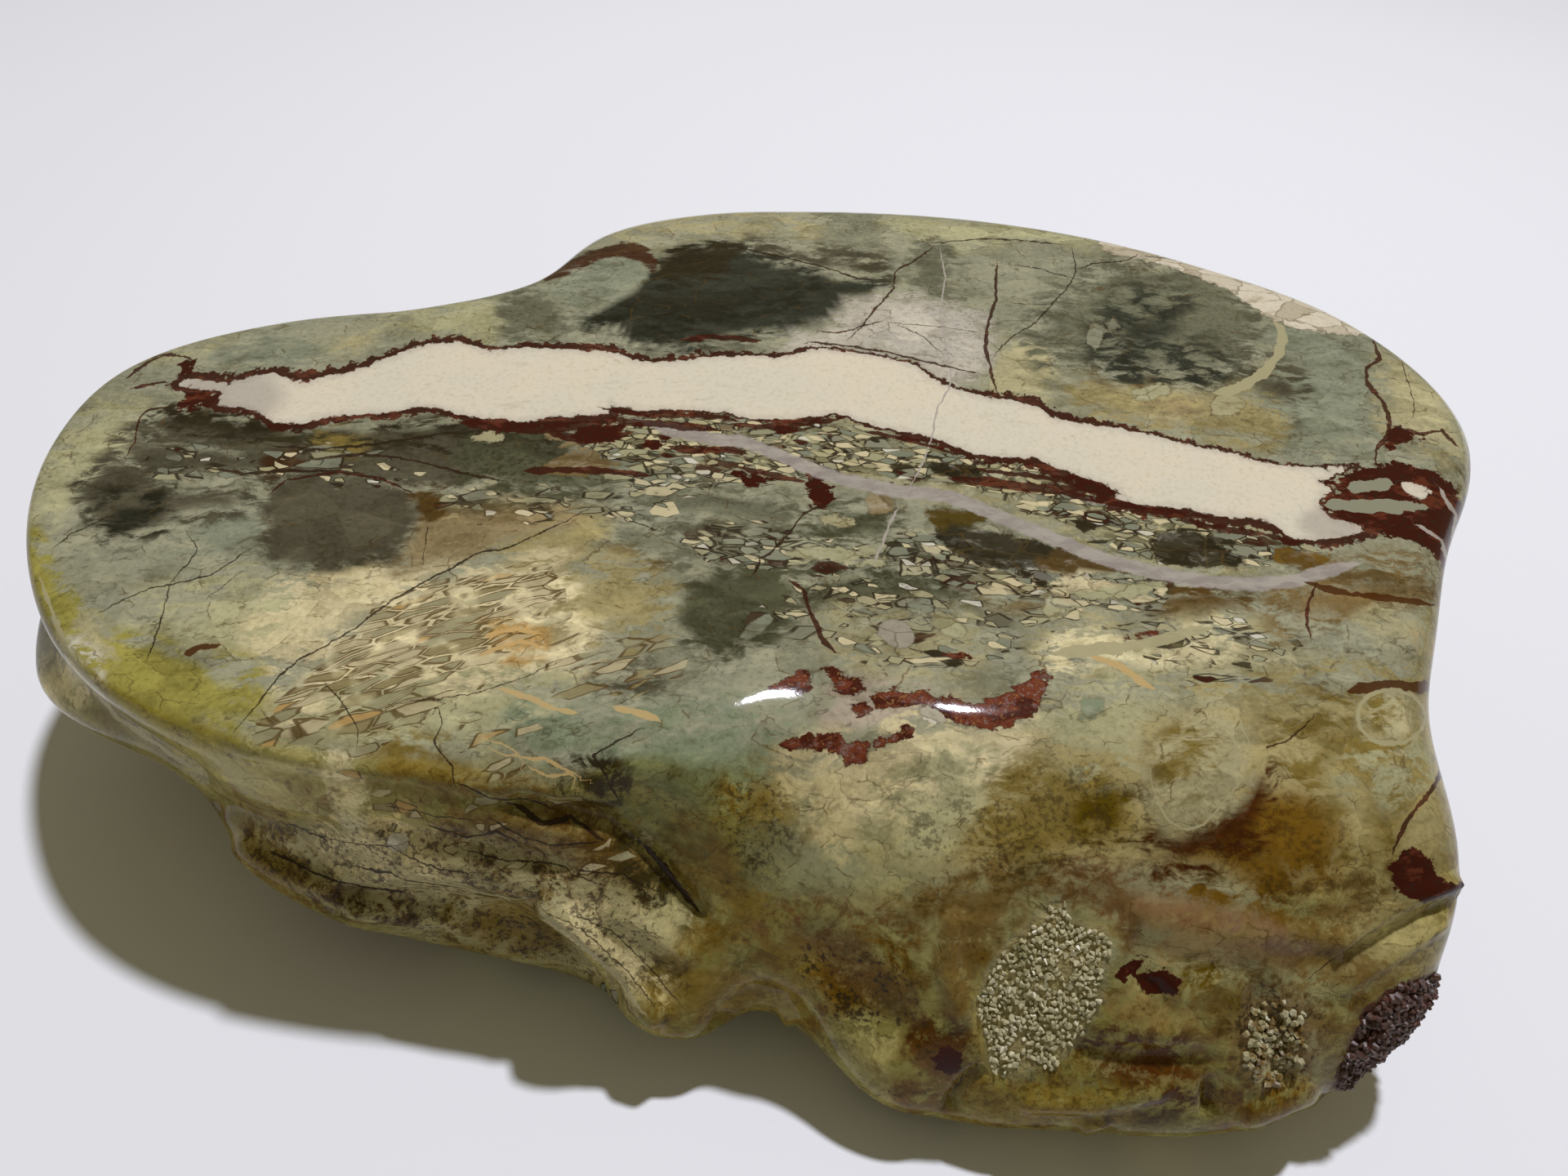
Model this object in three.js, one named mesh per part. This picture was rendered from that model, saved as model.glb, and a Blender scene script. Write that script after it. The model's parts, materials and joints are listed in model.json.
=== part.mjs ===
// A polished free-form thunderegg slab: one natural stone, tumbled smooth all over.
// It is modelled in millimetres with +Z up. The origin is the middle of its flat base,
// +X runs along the stone's length and -Y faces the side with the high rounded front.

import * as THREE from "three";
import { mergeVertices } from "three/addons/utils/BufferGeometryUtils.js";

// The heights at which the stone's outline is given, from the flat foot to the polished rim.
const FOOT_HEIGHT = 0;
const SOLE_HEIGHT = 10;
const BELLY_HEIGHT = 24;
const WAIST_HEIGHT = 40;
const RIM_HEIGHT = 54;

// Each outline gives the reach from the stone's axis at the angles where its shape turns, in
// degrees anticlockwise from +X as seen from above: 90 is the back, 180 the left, 270 the front.
const OUTLINES = [
  {
    height: FOOT_HEIGHT,
    reach: [
      [0, 80], [30, 84], [60, 72], [90, 62], [120, 54], [150, 46], [180, 50], [210, 60],
      [228, 64], [243, 60], [259, 59], [266, 56], [272, 52], [278, 59], [286, 75], [300, 85],
      [315, 97], [330, 94], [345, 84],
    ],
  },
  {
    height: SOLE_HEIGHT,
    reach: [
      [0, 92], [22, 98], [45, 92], [75, 78], [105, 72], [135, 64], [150, 64], [165, 76], [185, 87],
      [205, 86], [216, 85], [228, 78], [240, 71], [255, 68], [265, 71], [271, 67], [277, 71], [285, 80],
      [300, 90], [315, 105], [330, 106], [345, 96],
    ],
  },
  {
    height: BELLY_HEIGHT,
    reach: [
      [0, 100], [15, 110], [30, 110], [60, 93], [90, 82], [120, 79], [135, 72], [150, 77], [165, 98],
      [180, 117], [195, 117], [205, 99], [213, 93], [225, 83], [240, 72], [255, 67], [270, 66],
      [285, 74], [300, 84], [315, 101], [328, 112], [345, 101],
    ],
  },
  {
    height: WAIST_HEIGHT,
    reach: [
      [0, 104], [15, 119], [30, 118], [45, 106], [60, 97], [90, 86], [120, 83], [135, 74], [150, 80],
      [165, 103], [180, 117], [195, 113], [210, 98], [225, 81], [240, 69], [255, 61], [270, 59],
      [285, 63], [300, 72], [315, 87], [330, 107], [345, 101],
    ],
  },
  {
    height: RIM_HEIGHT,
    reach: [
      [0, 106], [15, 123], [30, 122], [45, 110], [60, 100], [75, 93], [90, 89], [105, 88], [120, 85],
      [135, 75], [150, 82], [160, 100], [170, 117], [181, 120], [195, 114], [210, 103], [225, 83],
      [240, 66], [255, 57], [262, 57.3], [270, 55], [285, 52], [300, 61], [315, 73], [330, 89], [345, 98],
    ],
  },
];

// How widely the rim is rounded over, at the same angles.
const RIM_ROUNDING = [
  [0, 8], [30, 11], [60, 12], [100, 14], [135, 9], [165, 4], [200, 4], [215, 7], [235, 13.5],
  [250, 8.5], [262, 18], [275, 21.5], [290, 16], [315, 19.5], [335, 10],
];
const FOOT_ROUNDING = 7;

// The polished top leans towards the front and is slightly crowned.
const TOP_HEIGHT = 58;
const TOP_RISE_TO_BACK = 0.12;
const TOP_RISE_TO_RIGHT = 0.02;
const CROWN = { fallAlong: 2.5, halfLength: 120, fallAcross: 1.5, halfWidth: 80 };

// The point inside the stone that every surface point is seen from.
const HEART = new THREE.Vector3(0, 0, 28);

// The cells of the grid that is drawn out to the stone's surface. They crowd towards the rim
// and the foot by this share, where the surface turns most.
const GRID_CELLS = { along: 52, across: 20, up: 19 };
const GRID_CROWDING = 0.5;
// Its corners sit where the stone's outline turns outwards.
const GRID_CORNERS = { backRight: 25, backLeft: 172, frontLeft: 208, frontRight: 326 };
const SETTLING_PASSES = 2;

// Forms worn into the surface or left standing on it, each along a path at the surface. They fade
// out at their width, and a negative depth stands out.
const SCULPTING = {
  notchUnderTheFront: { along: [[7, -76, 4], [3, -71, 13]], width: 11, depth: 8 },
  pocketUnderTheLeftRim: { along: [[-80, -50, 22], [-81, -49, 31]], width: 9, depth: 2.5 },
  grooveUnderTheLeftRim: {
    along: [[-113, -24, 36], [-106, -36, 34], [-95, -42, 34], [-82, -49, 33]], width: 7, depth: 3,
  },
  lobeBelowTheLeftRim: { along: [[-79, -51, 19], [-68, -58, 19], [-58, -61, 18]], width: 10, depth: -3 },
  stepAboveTheLobe: { along: [[-75, -54, 27], [-65, -58, 26], [-57, -60, 29]], width: 7, depth: 3 },
  hollowBesideTheLobe: { along: [[-41, -63, 19], [-34, -64, 18], [-28, -65, 16]], width: 14, depth: 5 },
  ridgeBesideTheHollow: { along: [[-26, -64, 27], [-20, -66, 19], [-14, -68, 12]], width: 8, depth: -3.5 },
  darkHollow: { along: [[-17, -56, 41], [-13, -59, 36], [-10, -61, 32]], width: 9, depth: 3.5 },
  crystalRecess: { along: [[39, -65, 35], [38, -73, 24]], width: 15, depth: 1.2 },
  chippedFacet: { along: [[82, -59, 40], [76, -64, 34]], width: 13, depth: 2.5 },
  roughKnob: { along: [[92, -60, 17], [88, -63, 13], [84, -66, 10]], width: 11, depth: -2.5 },
  swellOnTheFrontRim: { along: [[-6, -52, 51], [2, -48, 52]], width: 14, depth: -0.9 },
  swellFurtherRight: { along: [[14, -45, 53], [34, -44, 53]], width: 14, depth: -0.8 },
  splitAtTheFoot: { along: [[28, -81, 3], [28.5, -77, 14]], width: 6, depth: 2.5 },
};

const STONE_COLOUR = 0x9a9d78;

// A smooth closed curve through [degrees, value] pairs.
function aroundTheStone(points, angle) {
  const degrees = ((THREE.MathUtils.radToDeg(angle) % 360) + 360) % 360;
  const count = points.length;
  const at = (k) => {
    const [place, value] = points[(k + count) % count];
    return [place + 360 * Math.floor(k / count), value];
  };
  let k = count - 1;
  while (points[k][0] > degrees) k--;
  return throughPoints(at(k - 1), at(k), at(k + 1), at(k + 2), degrees);
}

// A cubic through two points whose slopes come from their neighbours.
function throughPoints(before, start, end, after, place) {
  const span = end[0] - start[0];
  const t = (place - start[0]) / span;
  const leaving = (span * (end[1] - before[1])) / (end[0] - before[0]);
  const arriving = (span * (after[1] - start[1])) / (after[0] - start[0]);
  const rise = end[1] - start[1];
  return (
    start[1] + t * (leaving + t * (3 * rise - 2 * leaving - arriving + t * (leaving + arriving - 2 * rise)))
  );
}

// The stone's reach from its axis at an angle and a height.
function reachAt(angle, height) {
  const top = OUTLINES.length - 1;
  const level = Math.min(Math.max(height, OUTLINES[0].height), OUTLINES[top].height);
  let k = 0;
  while (k < top - 1 && level > OUTLINES[k + 1].height) k++;
  const at = (j) => {
    const outline = OUTLINES[Math.min(Math.max(j, 0), top)];
    return [outline.height + (j - Math.min(Math.max(j, 0), top)), aroundTheStone(outline.reach, angle)];
  };
  return throughPoints(at(k - 1), at(k), at(k + 1), at(k + 2), level);
}

function topAt(x, y) {
  return (
    TOP_HEIGHT +
    TOP_RISE_TO_BACK * y +
    TOP_RISE_TO_RIGHT * x -
    CROWN.fallAlong * (x / CROWN.halfLength) ** 2 -
    CROWN.fallAcross * (y / CROWN.halfWidth) ** 2
  );
}

// The larger of two distances, with the corner between them rounded over a width.
function roundedMax(a, b, width) {
  const near = Math.max(width - Math.abs(a - b), 0) / width;
  return Math.max(a, b) + (near * near * width) / 4;
}

// The distance from a point to a path of straight steps.
function distanceToPath(p, path) {
  let nearest = Infinity;
  const spot = new THREE.Vector3();
  for (let k = 0; k + 1 < path.length; k++) {
    const step = new THREE.Line3(new THREE.Vector3(...path[k]), new THREE.Vector3(...path[k + 1]));
    step.closestPointToPoint(p, true, spot);
    nearest = Math.min(nearest, spot.distanceTo(p));
  }
  return nearest;
}

function sculptingAt(p) {
  let depth = 0;
  for (const form of Object.values(SCULPTING)) {
    const away = distanceToPath(p, form.along) / form.width;
    if (away < 1) depth += form.depth * (1 - away * away) ** 2;
  }
  return depth;
}

// Below zero inside the stone and above it outside.
function outside(p) {
  const angle = Math.atan2(p.y, p.x);
  const side = Math.hypot(p.x, p.y) - reachAt(angle, p.z);
  const top = p.z - topAt(p.x, p.y);
  const upper = roundedMax(side, top, aroundTheStone(RIM_ROUNDING, angle));
  return roundedMax(upper + sculptingAt(p), -p.z, FOOT_ROUNDING);
}

// Walks out from the heart of the stone until it leaves the surface.
function surfaceAlong(direction) {
  let inside = 0;
  let beyond = 200;
  const p = new THREE.Vector3();
  for (let step = 0; step < 40; step++) {
    const middle = (inside + beyond) / 2;
    p.copy(direction).multiplyScalar(middle).add(HEART);
    if (outside(p) < 0) inside = middle;
    else beyond = middle;
  }
  if (Math.abs(p.z) < 0.01) p.z = 0;
  return p;
}

// Crowds values between -1 and 1 towards both ends.
function crowded(value) {
  return THREE.MathUtils.lerp(value, Math.sin((value * Math.PI) / 2), GRID_CROWDING);
}

// The degrees round the stone of a point on the edge of a square that reaches from -1 to 1.
function degreesAt(u, v) {
  const { backRight, backLeft, frontLeft, frontRight } = GRID_CORNERS;
  if (u >= 1) return THREE.MathUtils.lerp(frontRight - 360, backRight, (v + 1) / 2);
  if (v >= 1) return THREE.MathUtils.lerp(backRight, backLeft, (1 - u) / 2);
  if (u <= -1) return THREE.MathUtils.lerp(backLeft, frontLeft, (1 - v) / 2);
  return THREE.MathUtils.lerp(frontLeft, frontRight, (u + 1) / 2);
}

// A point on the outline at a height, at the angle of a point on the square's edge, or its share
// of the way there from the axis.
function onOutline(u, v, height) {
  const share = Math.max(Math.abs(u), Math.abs(v), 1e-9);
  const angle = THREE.MathUtils.degToRad(degreesAt(u / share, v / share));
  const reach = crowded(share) * reachAt(angle, height);
  return new THREE.Vector2(reach * Math.cos(angle), reach * Math.sin(angle));
}

// Fills the outline at a height with the cells of a grid. Each inner crossing settles between its
// four neighbours as if on springs, which are stiffer where the cells are to be smaller.
function settledGrid(height) {
  const { along, across } = GRID_CELLS;
  const stiffness = (k, cells) => 1 / (crowded((2 * k + 2) / cells - 1) - crowded((2 * k) / cells - 1));
  const grid = Array.from({ length: along + 1 }, (_, i) =>
    Array.from({ length: across + 1 }, (_, j) => onOutline((2 * i) / along - 1, (2 * j) / across - 1, height)),
  );
  for (let pass = 0; pass < SETTLING_PASSES; pass++) {
    for (let i = 1; i < along; i++) {
      for (let j = 1; j < across; j++) {
        const pulls = [
          [grid[i - 1][j], stiffness(i - 1, along)],
          [grid[i + 1][j], stiffness(i, along)],
          [grid[i][j - 1], stiffness(j - 1, across)],
          [grid[i][j + 1], stiffness(j, across)],
        ];
        const total = pulls.reduce((sum, [, pull]) => sum + pull, 0);
        grid[i][j].set(0, 0);
        for (const [neighbour, pull] of pulls) grid[i][j].addScaledVector(neighbour, pull / total);
      }
    }
  }
  return grid;
}

// Lays a cube's grid onto a drum as wide and high as the stone, so that the cube's upper and lower
// edges follow the rim and the foot, and draws each point out to the surface.
function stoneGeometry() {
  const { along, across, up } = GRID_CELLS;
  const geometry = new THREE.BoxGeometry(2, 2, 2, along, across, up);
  geometry.deleteAttribute("normal");
  geometry.deleteAttribute("uv");
  const merged = mergeVertices(geometry);
  const corners = merged.getAttribute("position");
  const upperGrid = settledGrid(RIM_HEIGHT);
  const lowerGrid = settledGrid(FOOT_HEIGHT);
  const corner = new THREE.Vector3();
  for (let n = 0; n < corners.count; n++) {
    corner.fromBufferAttribute(corners, n);
    const i = Math.round(((corner.x + 1) / 2) * along);
    const j = Math.round(((corner.y + 1) / 2) * across);
    const height = (crowded(corner.z) + 1) / 2;
    let place = onOutline(corner.x, corner.y, height * RIM_HEIGHT);
    if (corner.z > 0.999) place = upperGrid[i][j];
    if (corner.z < -0.999) place = lowerGrid[i][j];
    const onDrum = new THREE.Vector3(place.x, place.y, height * topAt(place.x, place.y));
    const p = surfaceAlong(onDrum.sub(HEART).normalize());
    corners.setXYZ(n, p.x, p.y, p.z);
  }
  return merged;
}

function stone() {
  const geometry = stoneGeometry();
  geometry.computeBoundingBox();
  const middle = geometry.boundingBox.getCenter(new THREE.Vector3());
  geometry.computeVertexNormals();
  const material = new THREE.MeshStandardMaterial({
    color: STONE_COLOUR,
    roughness: 0.15,
    metalness: 0,
  });
  const mesh = new THREE.Mesh(geometry, material);
  mesh.name = "thunderegg";
  mesh.position.set(-middle.x, -middle.y, 0);
  return mesh;
}

const part = new THREE.Group();
part.add(stone());

export default part;
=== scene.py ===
"""A polished thunderegg slab: grey-green and cream agate and jasper with a white seam across it."""

import json
import math

import bmesh
import bpy
import numpy as np
from mathutils import Matrix, Vector, noise

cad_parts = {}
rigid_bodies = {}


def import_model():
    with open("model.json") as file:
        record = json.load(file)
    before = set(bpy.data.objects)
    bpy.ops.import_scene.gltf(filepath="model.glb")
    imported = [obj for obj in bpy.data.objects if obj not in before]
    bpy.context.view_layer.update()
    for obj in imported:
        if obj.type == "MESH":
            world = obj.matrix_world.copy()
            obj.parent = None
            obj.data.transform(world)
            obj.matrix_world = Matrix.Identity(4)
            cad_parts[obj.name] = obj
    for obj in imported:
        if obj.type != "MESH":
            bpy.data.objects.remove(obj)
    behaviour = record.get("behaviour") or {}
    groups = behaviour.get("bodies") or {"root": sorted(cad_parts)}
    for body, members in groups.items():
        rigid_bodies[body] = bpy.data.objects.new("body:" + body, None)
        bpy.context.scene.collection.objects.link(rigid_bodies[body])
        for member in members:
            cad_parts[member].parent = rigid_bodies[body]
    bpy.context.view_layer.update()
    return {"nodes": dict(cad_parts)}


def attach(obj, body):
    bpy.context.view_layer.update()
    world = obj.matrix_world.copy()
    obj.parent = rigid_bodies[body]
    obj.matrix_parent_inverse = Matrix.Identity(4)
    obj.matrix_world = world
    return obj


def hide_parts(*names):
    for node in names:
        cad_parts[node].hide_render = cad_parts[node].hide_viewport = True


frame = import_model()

bl_info = {
    "name": "Thunderegg slab",
    "version": (1, 0, 0),
    "blender": (4, 5, 0),
    "location": "3D View > Sidebar > Thunderegg",
    "description": "Builds a polished thunderegg slab with its markings and crystal patch",
    "category": "Add Mesh",
}

MM = 0.001


def linear(hex_colour):
    """An sRGB hex colour as linear red, green and blue."""
    parts = [int(hex_colour[k : k + 2], 16) / 255 for k in (1, 3, 5)]
    return tuple(c / 12.92 if c <= 0.04045 else ((c + 0.055) / 1.055) ** 2.4 for c in parts)


# The photograph's view, in the part's frame

# Markings are placed by where they show in the photograph's frame of 1920 by 1440 pixels.
PHOTO_SIZE = (1920, 1440)
FOCAL_PIXELS = 1500
VIEW_ELEVATION = math.radians(41)
VIEW_ROLL = math.radians(5)
VIEW_AIM = Vector((1.16, -5.71, 34.0)) * MM
VIEW_DISTANCE = 209 * MM


def view_axes(elevation, roll):
    """The camera's right, up and backward directions."""
    back = Vector((0, -math.cos(elevation), math.sin(elevation)))
    level_up = Vector((0, math.sin(elevation), math.cos(elevation)))
    right = Vector((1, 0, 0)) * math.cos(roll) + level_up * math.sin(roll)
    return right, back.cross(right), back


RIGHT, UP, BACK = (np.array(axis) for axis in view_axes(VIEW_ELEVATION, VIEW_ROLL))
EYE = np.array(VIEW_AIM) + BACK * VIEW_DISTANCE


def seen_in_photo(points):
    """Each point's place in the photograph in pixels, and its depth in metres."""
    away = points - EYE
    depth = -away @ BACK
    across = PHOTO_SIZE[0] / 2 + FOCAL_PIXELS * (away @ RIGHT) / depth
    down = PHOTO_SIZE[1] / 2 - FOCAL_PIXELS * (away @ UP) / depth
    return np.stack([across, down], 1), depth


# Colours

PALETTE = {
    "seam_cream": ("#d8ccb2", "The white seam's sugary chalcedony"),
    "seam_lilac": ("#8f857c", "The seam's grey-lilac tip"),
    "seam_edge": ("#3b150b", "The dark red jasper that lines the seam"),
    "brick": ("#6e3722", "Brick-red jasper"),
    "vein": ("#a79d90", "The thin lilac-grey vein"),
    "crack": ("#2c2115", "Healed cracks"),
    "sage": ("#8d8b72", "The stone's grey-green ground"),
    "moor": ("#7f7a4c", "The front wall's yellow-green ground"),
    "celadon": ("#82846d", "Cooler grey-green"),
    "straw": ("#a7a27b", "Pale yellow-green"),
    "cream": ("#d0c297", "Cream jasper"),
    "ivory": ("#e2d5a6", "Bright cream jasper"),
    "chalk": ("#d0cab4", "Crackled near-white chalcedony"),
    "sand": ("#9a8d60", "Sandy cream"),
    "fawn": ("#8d7c58", "Pinkish fawn"),
    "tan": ("#735f3a", "Tan jasper"),
    "umber": ("#482507", "Iron-brown"),
    "walnut": ("#543f1c", "Dull brown"),
    "moss": ("#2f2919", "Dark olive"),
    "slate": ("#534e3c", "Dark grey"),
    "russet": ("#44230f", "Red-brown streaks"),
    "ash": ("#b3ab9a", "Ash white"),
    "lilac": ("#8a7068", "Dusty lilac"),
    "pink_grey": ("#a59884", "Pinkish grey"),
    "heath": ("#696852", "Middle grey-green"),
    "bed": ("#4e4e38", "The dark grey-green bed between splinters of broken stone"),
    "basalt": ("#2b2a1e", "Near-black grey-green"),
    "blue_slate": ("#35362b", "Near-black blue-grey"),
    "lichen": ("#968d45", "Yellow-green"),
    "olive": ("#7e6c36", "Olive"),
    "deep_olive": ("#594708", "Dark yellow-olive"),
    "teal": ("#828a6c", "Teal-green"),
    "ochre": ("#c8a263", "Orange stain"),
    "rust": ("#6d5015", "Rust-brown"),
    "mauve": ("#6f5438", "Mauve-brown"),
    "bone": ("#a69d76", "Dull cream"),
    "knob": ("#4d3024", "The rough knob's iron-brown crust"),
    "crystal": ("#bab18a", "The crystal patch"),
}


class StoneColours(bpy.types.PropertyGroup):
    """The stone's colours."""

    __annotations__ = {
        name: bpy.props.FloatVectorProperty(
            name=name.replace("_", " ").capitalize(), description=what, default=linear(hex_colour),
            subtype="COLOR", size=3, min=0, max=1,
        )
        for name, (hex_colour, what) in PALETTE.items()
    }


class StoneSizes(bpy.types.PropertyGroup):
    """The sizes of the stone's relief and crystals."""

    polish_waves: bpy.props.FloatProperty(
        name="Polish waves", description="Height of the slow waves in the polish",
        default=0.12 * MM, min=0, subtype="DISTANCE", unit="LENGTH",
    )
    broken_relief: bpy.props.FloatProperty(
        name="Broken relief", description="How strongly the walls' ridges and hollows stand out",
        default=1.0, min=0, max=2,
    )
    knob_grit: bpy.props.FloatProperty(
        name="Knob grit", description="Height of the lumps on the rough knob", default=1.1 * MM, min=0,
        subtype="DISTANCE", unit="LENGTH",
    )
    crystal_size: bpy.props.FloatProperty(
        name="Crystal size", description="Width of a quartz crystal in the patch",
        default=0.95 * MM, min=0.2 * MM, subtype="DISTANCE", unit="LENGTH",
    )
    crystal_spacing: bpy.props.FloatProperty(
        name="Crystal spacing", description="Least distance between two crystals",
        default=0.5 * MM, min=0.3 * MM, subtype="DISTANCE", unit="LENGTH",
    )


class StageSettings(bpy.types.PropertyGroup):
    """The camera, the lamp and the floor."""

    elevation: bpy.props.FloatProperty(
        name="Elevation", description="The camera's height above the horizon", default=VIEW_ELEVATION,
        subtype="ANGLE", unit="ROTATION",
    )
    roll: bpy.props.FloatProperty(
        name="Roll", description="The camera's turn about its own line of sight", default=VIEW_ROLL,
        subtype="ANGLE", unit="ROTATION",
    )
    distance: bpy.props.FloatProperty(
        name="Distance", description="From the camera to the stone's middle",
        default=VIEW_DISTANCE, min=0.05, subtype="DISTANCE", unit="LENGTH",
    )
    lamp_direction: bpy.props.FloatProperty(
        name="Lamp direction", description="The lamp's bearing, anticlockwise from +X",
        default=math.radians(60), subtype="ANGLE", unit="ROTATION",
    )
    lamp_elevation: bpy.props.FloatProperty(
        name="Lamp elevation", description="The lamp's height above the horizon", default=math.radians(76),
        subtype="ANGLE", unit="ROTATION",
    )
    lamp_distance: bpy.props.FloatProperty(
        name="Lamp distance", description="From the lamp to the stone", default=1.6, min=0.3,
        subtype="DISTANCE", unit="LENGTH",
    )
    lamp_size: bpy.props.FloatProperty(
        name="Lamp size", description="The lamp's width, which softens the shadow's edge",
        default=0.10, min=0.01, subtype="DISTANCE", unit="LENGTH",
    )
    lamp_power: bpy.props.FloatProperty(
        name="Lamp power", description="The lamp's power",
        default=23.6, min=0, subtype="POWER", unit="POWER",
    )
    lamp_colour: bpy.props.FloatVectorProperty(
        name="Lamp colour", description="The lamp's colour", default=(0.868, 0.884, 1.0),
        subtype="COLOR", size=3, min=0, max=1,
    )
    room_light: bpy.props.FloatProperty(
        name="Room light", description="How much light comes from the room all round",
        default=0.195, min=0,
    )
    room_colour: bpy.props.FloatVectorProperty(
        name="Room colour", description="The colour of the room's light", default=(1.0, 0.92, 0.60),
        subtype="COLOR", size=3, min=0, max=1,
    )
    floor_colour: bpy.props.FloatVectorProperty(
        name="Floor colour", description="The painted floor's colour", default=linear("#e7e7e8"),
        subtype="COLOR", size=3, min=0, max=1,
    )
    floor_width: bpy.props.FloatProperty(
        name="Floor width", description="The floor's width and length", default=6.0, min=0.5,
        subtype="DISTANCE", unit="LENGTH",
    )


# Outlines in the photograph

# The points on an oval's outline.
OVAL_POINTS = 14


def oval(x, y, half_length, half_height, lean=0):
    """An oval's outline. lean turns it anticlockwise, in degrees."""
    turn = math.radians(lean)
    outline = []
    for k in range(OVAL_POINTS):
        a = 2 * math.pi * k / OVAL_POINTS
        u, v = half_length * math.cos(a), half_height * math.sin(a)
        outline.append(
            (x + u * math.cos(turn) + v * math.sin(turn), y - u * math.sin(turn) + v * math.cos(turn))
        )
    return outline


# Outlines and courses are ovals, or places in the photograph's pixels, as "across,down across,down"
# and so on.

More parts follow.
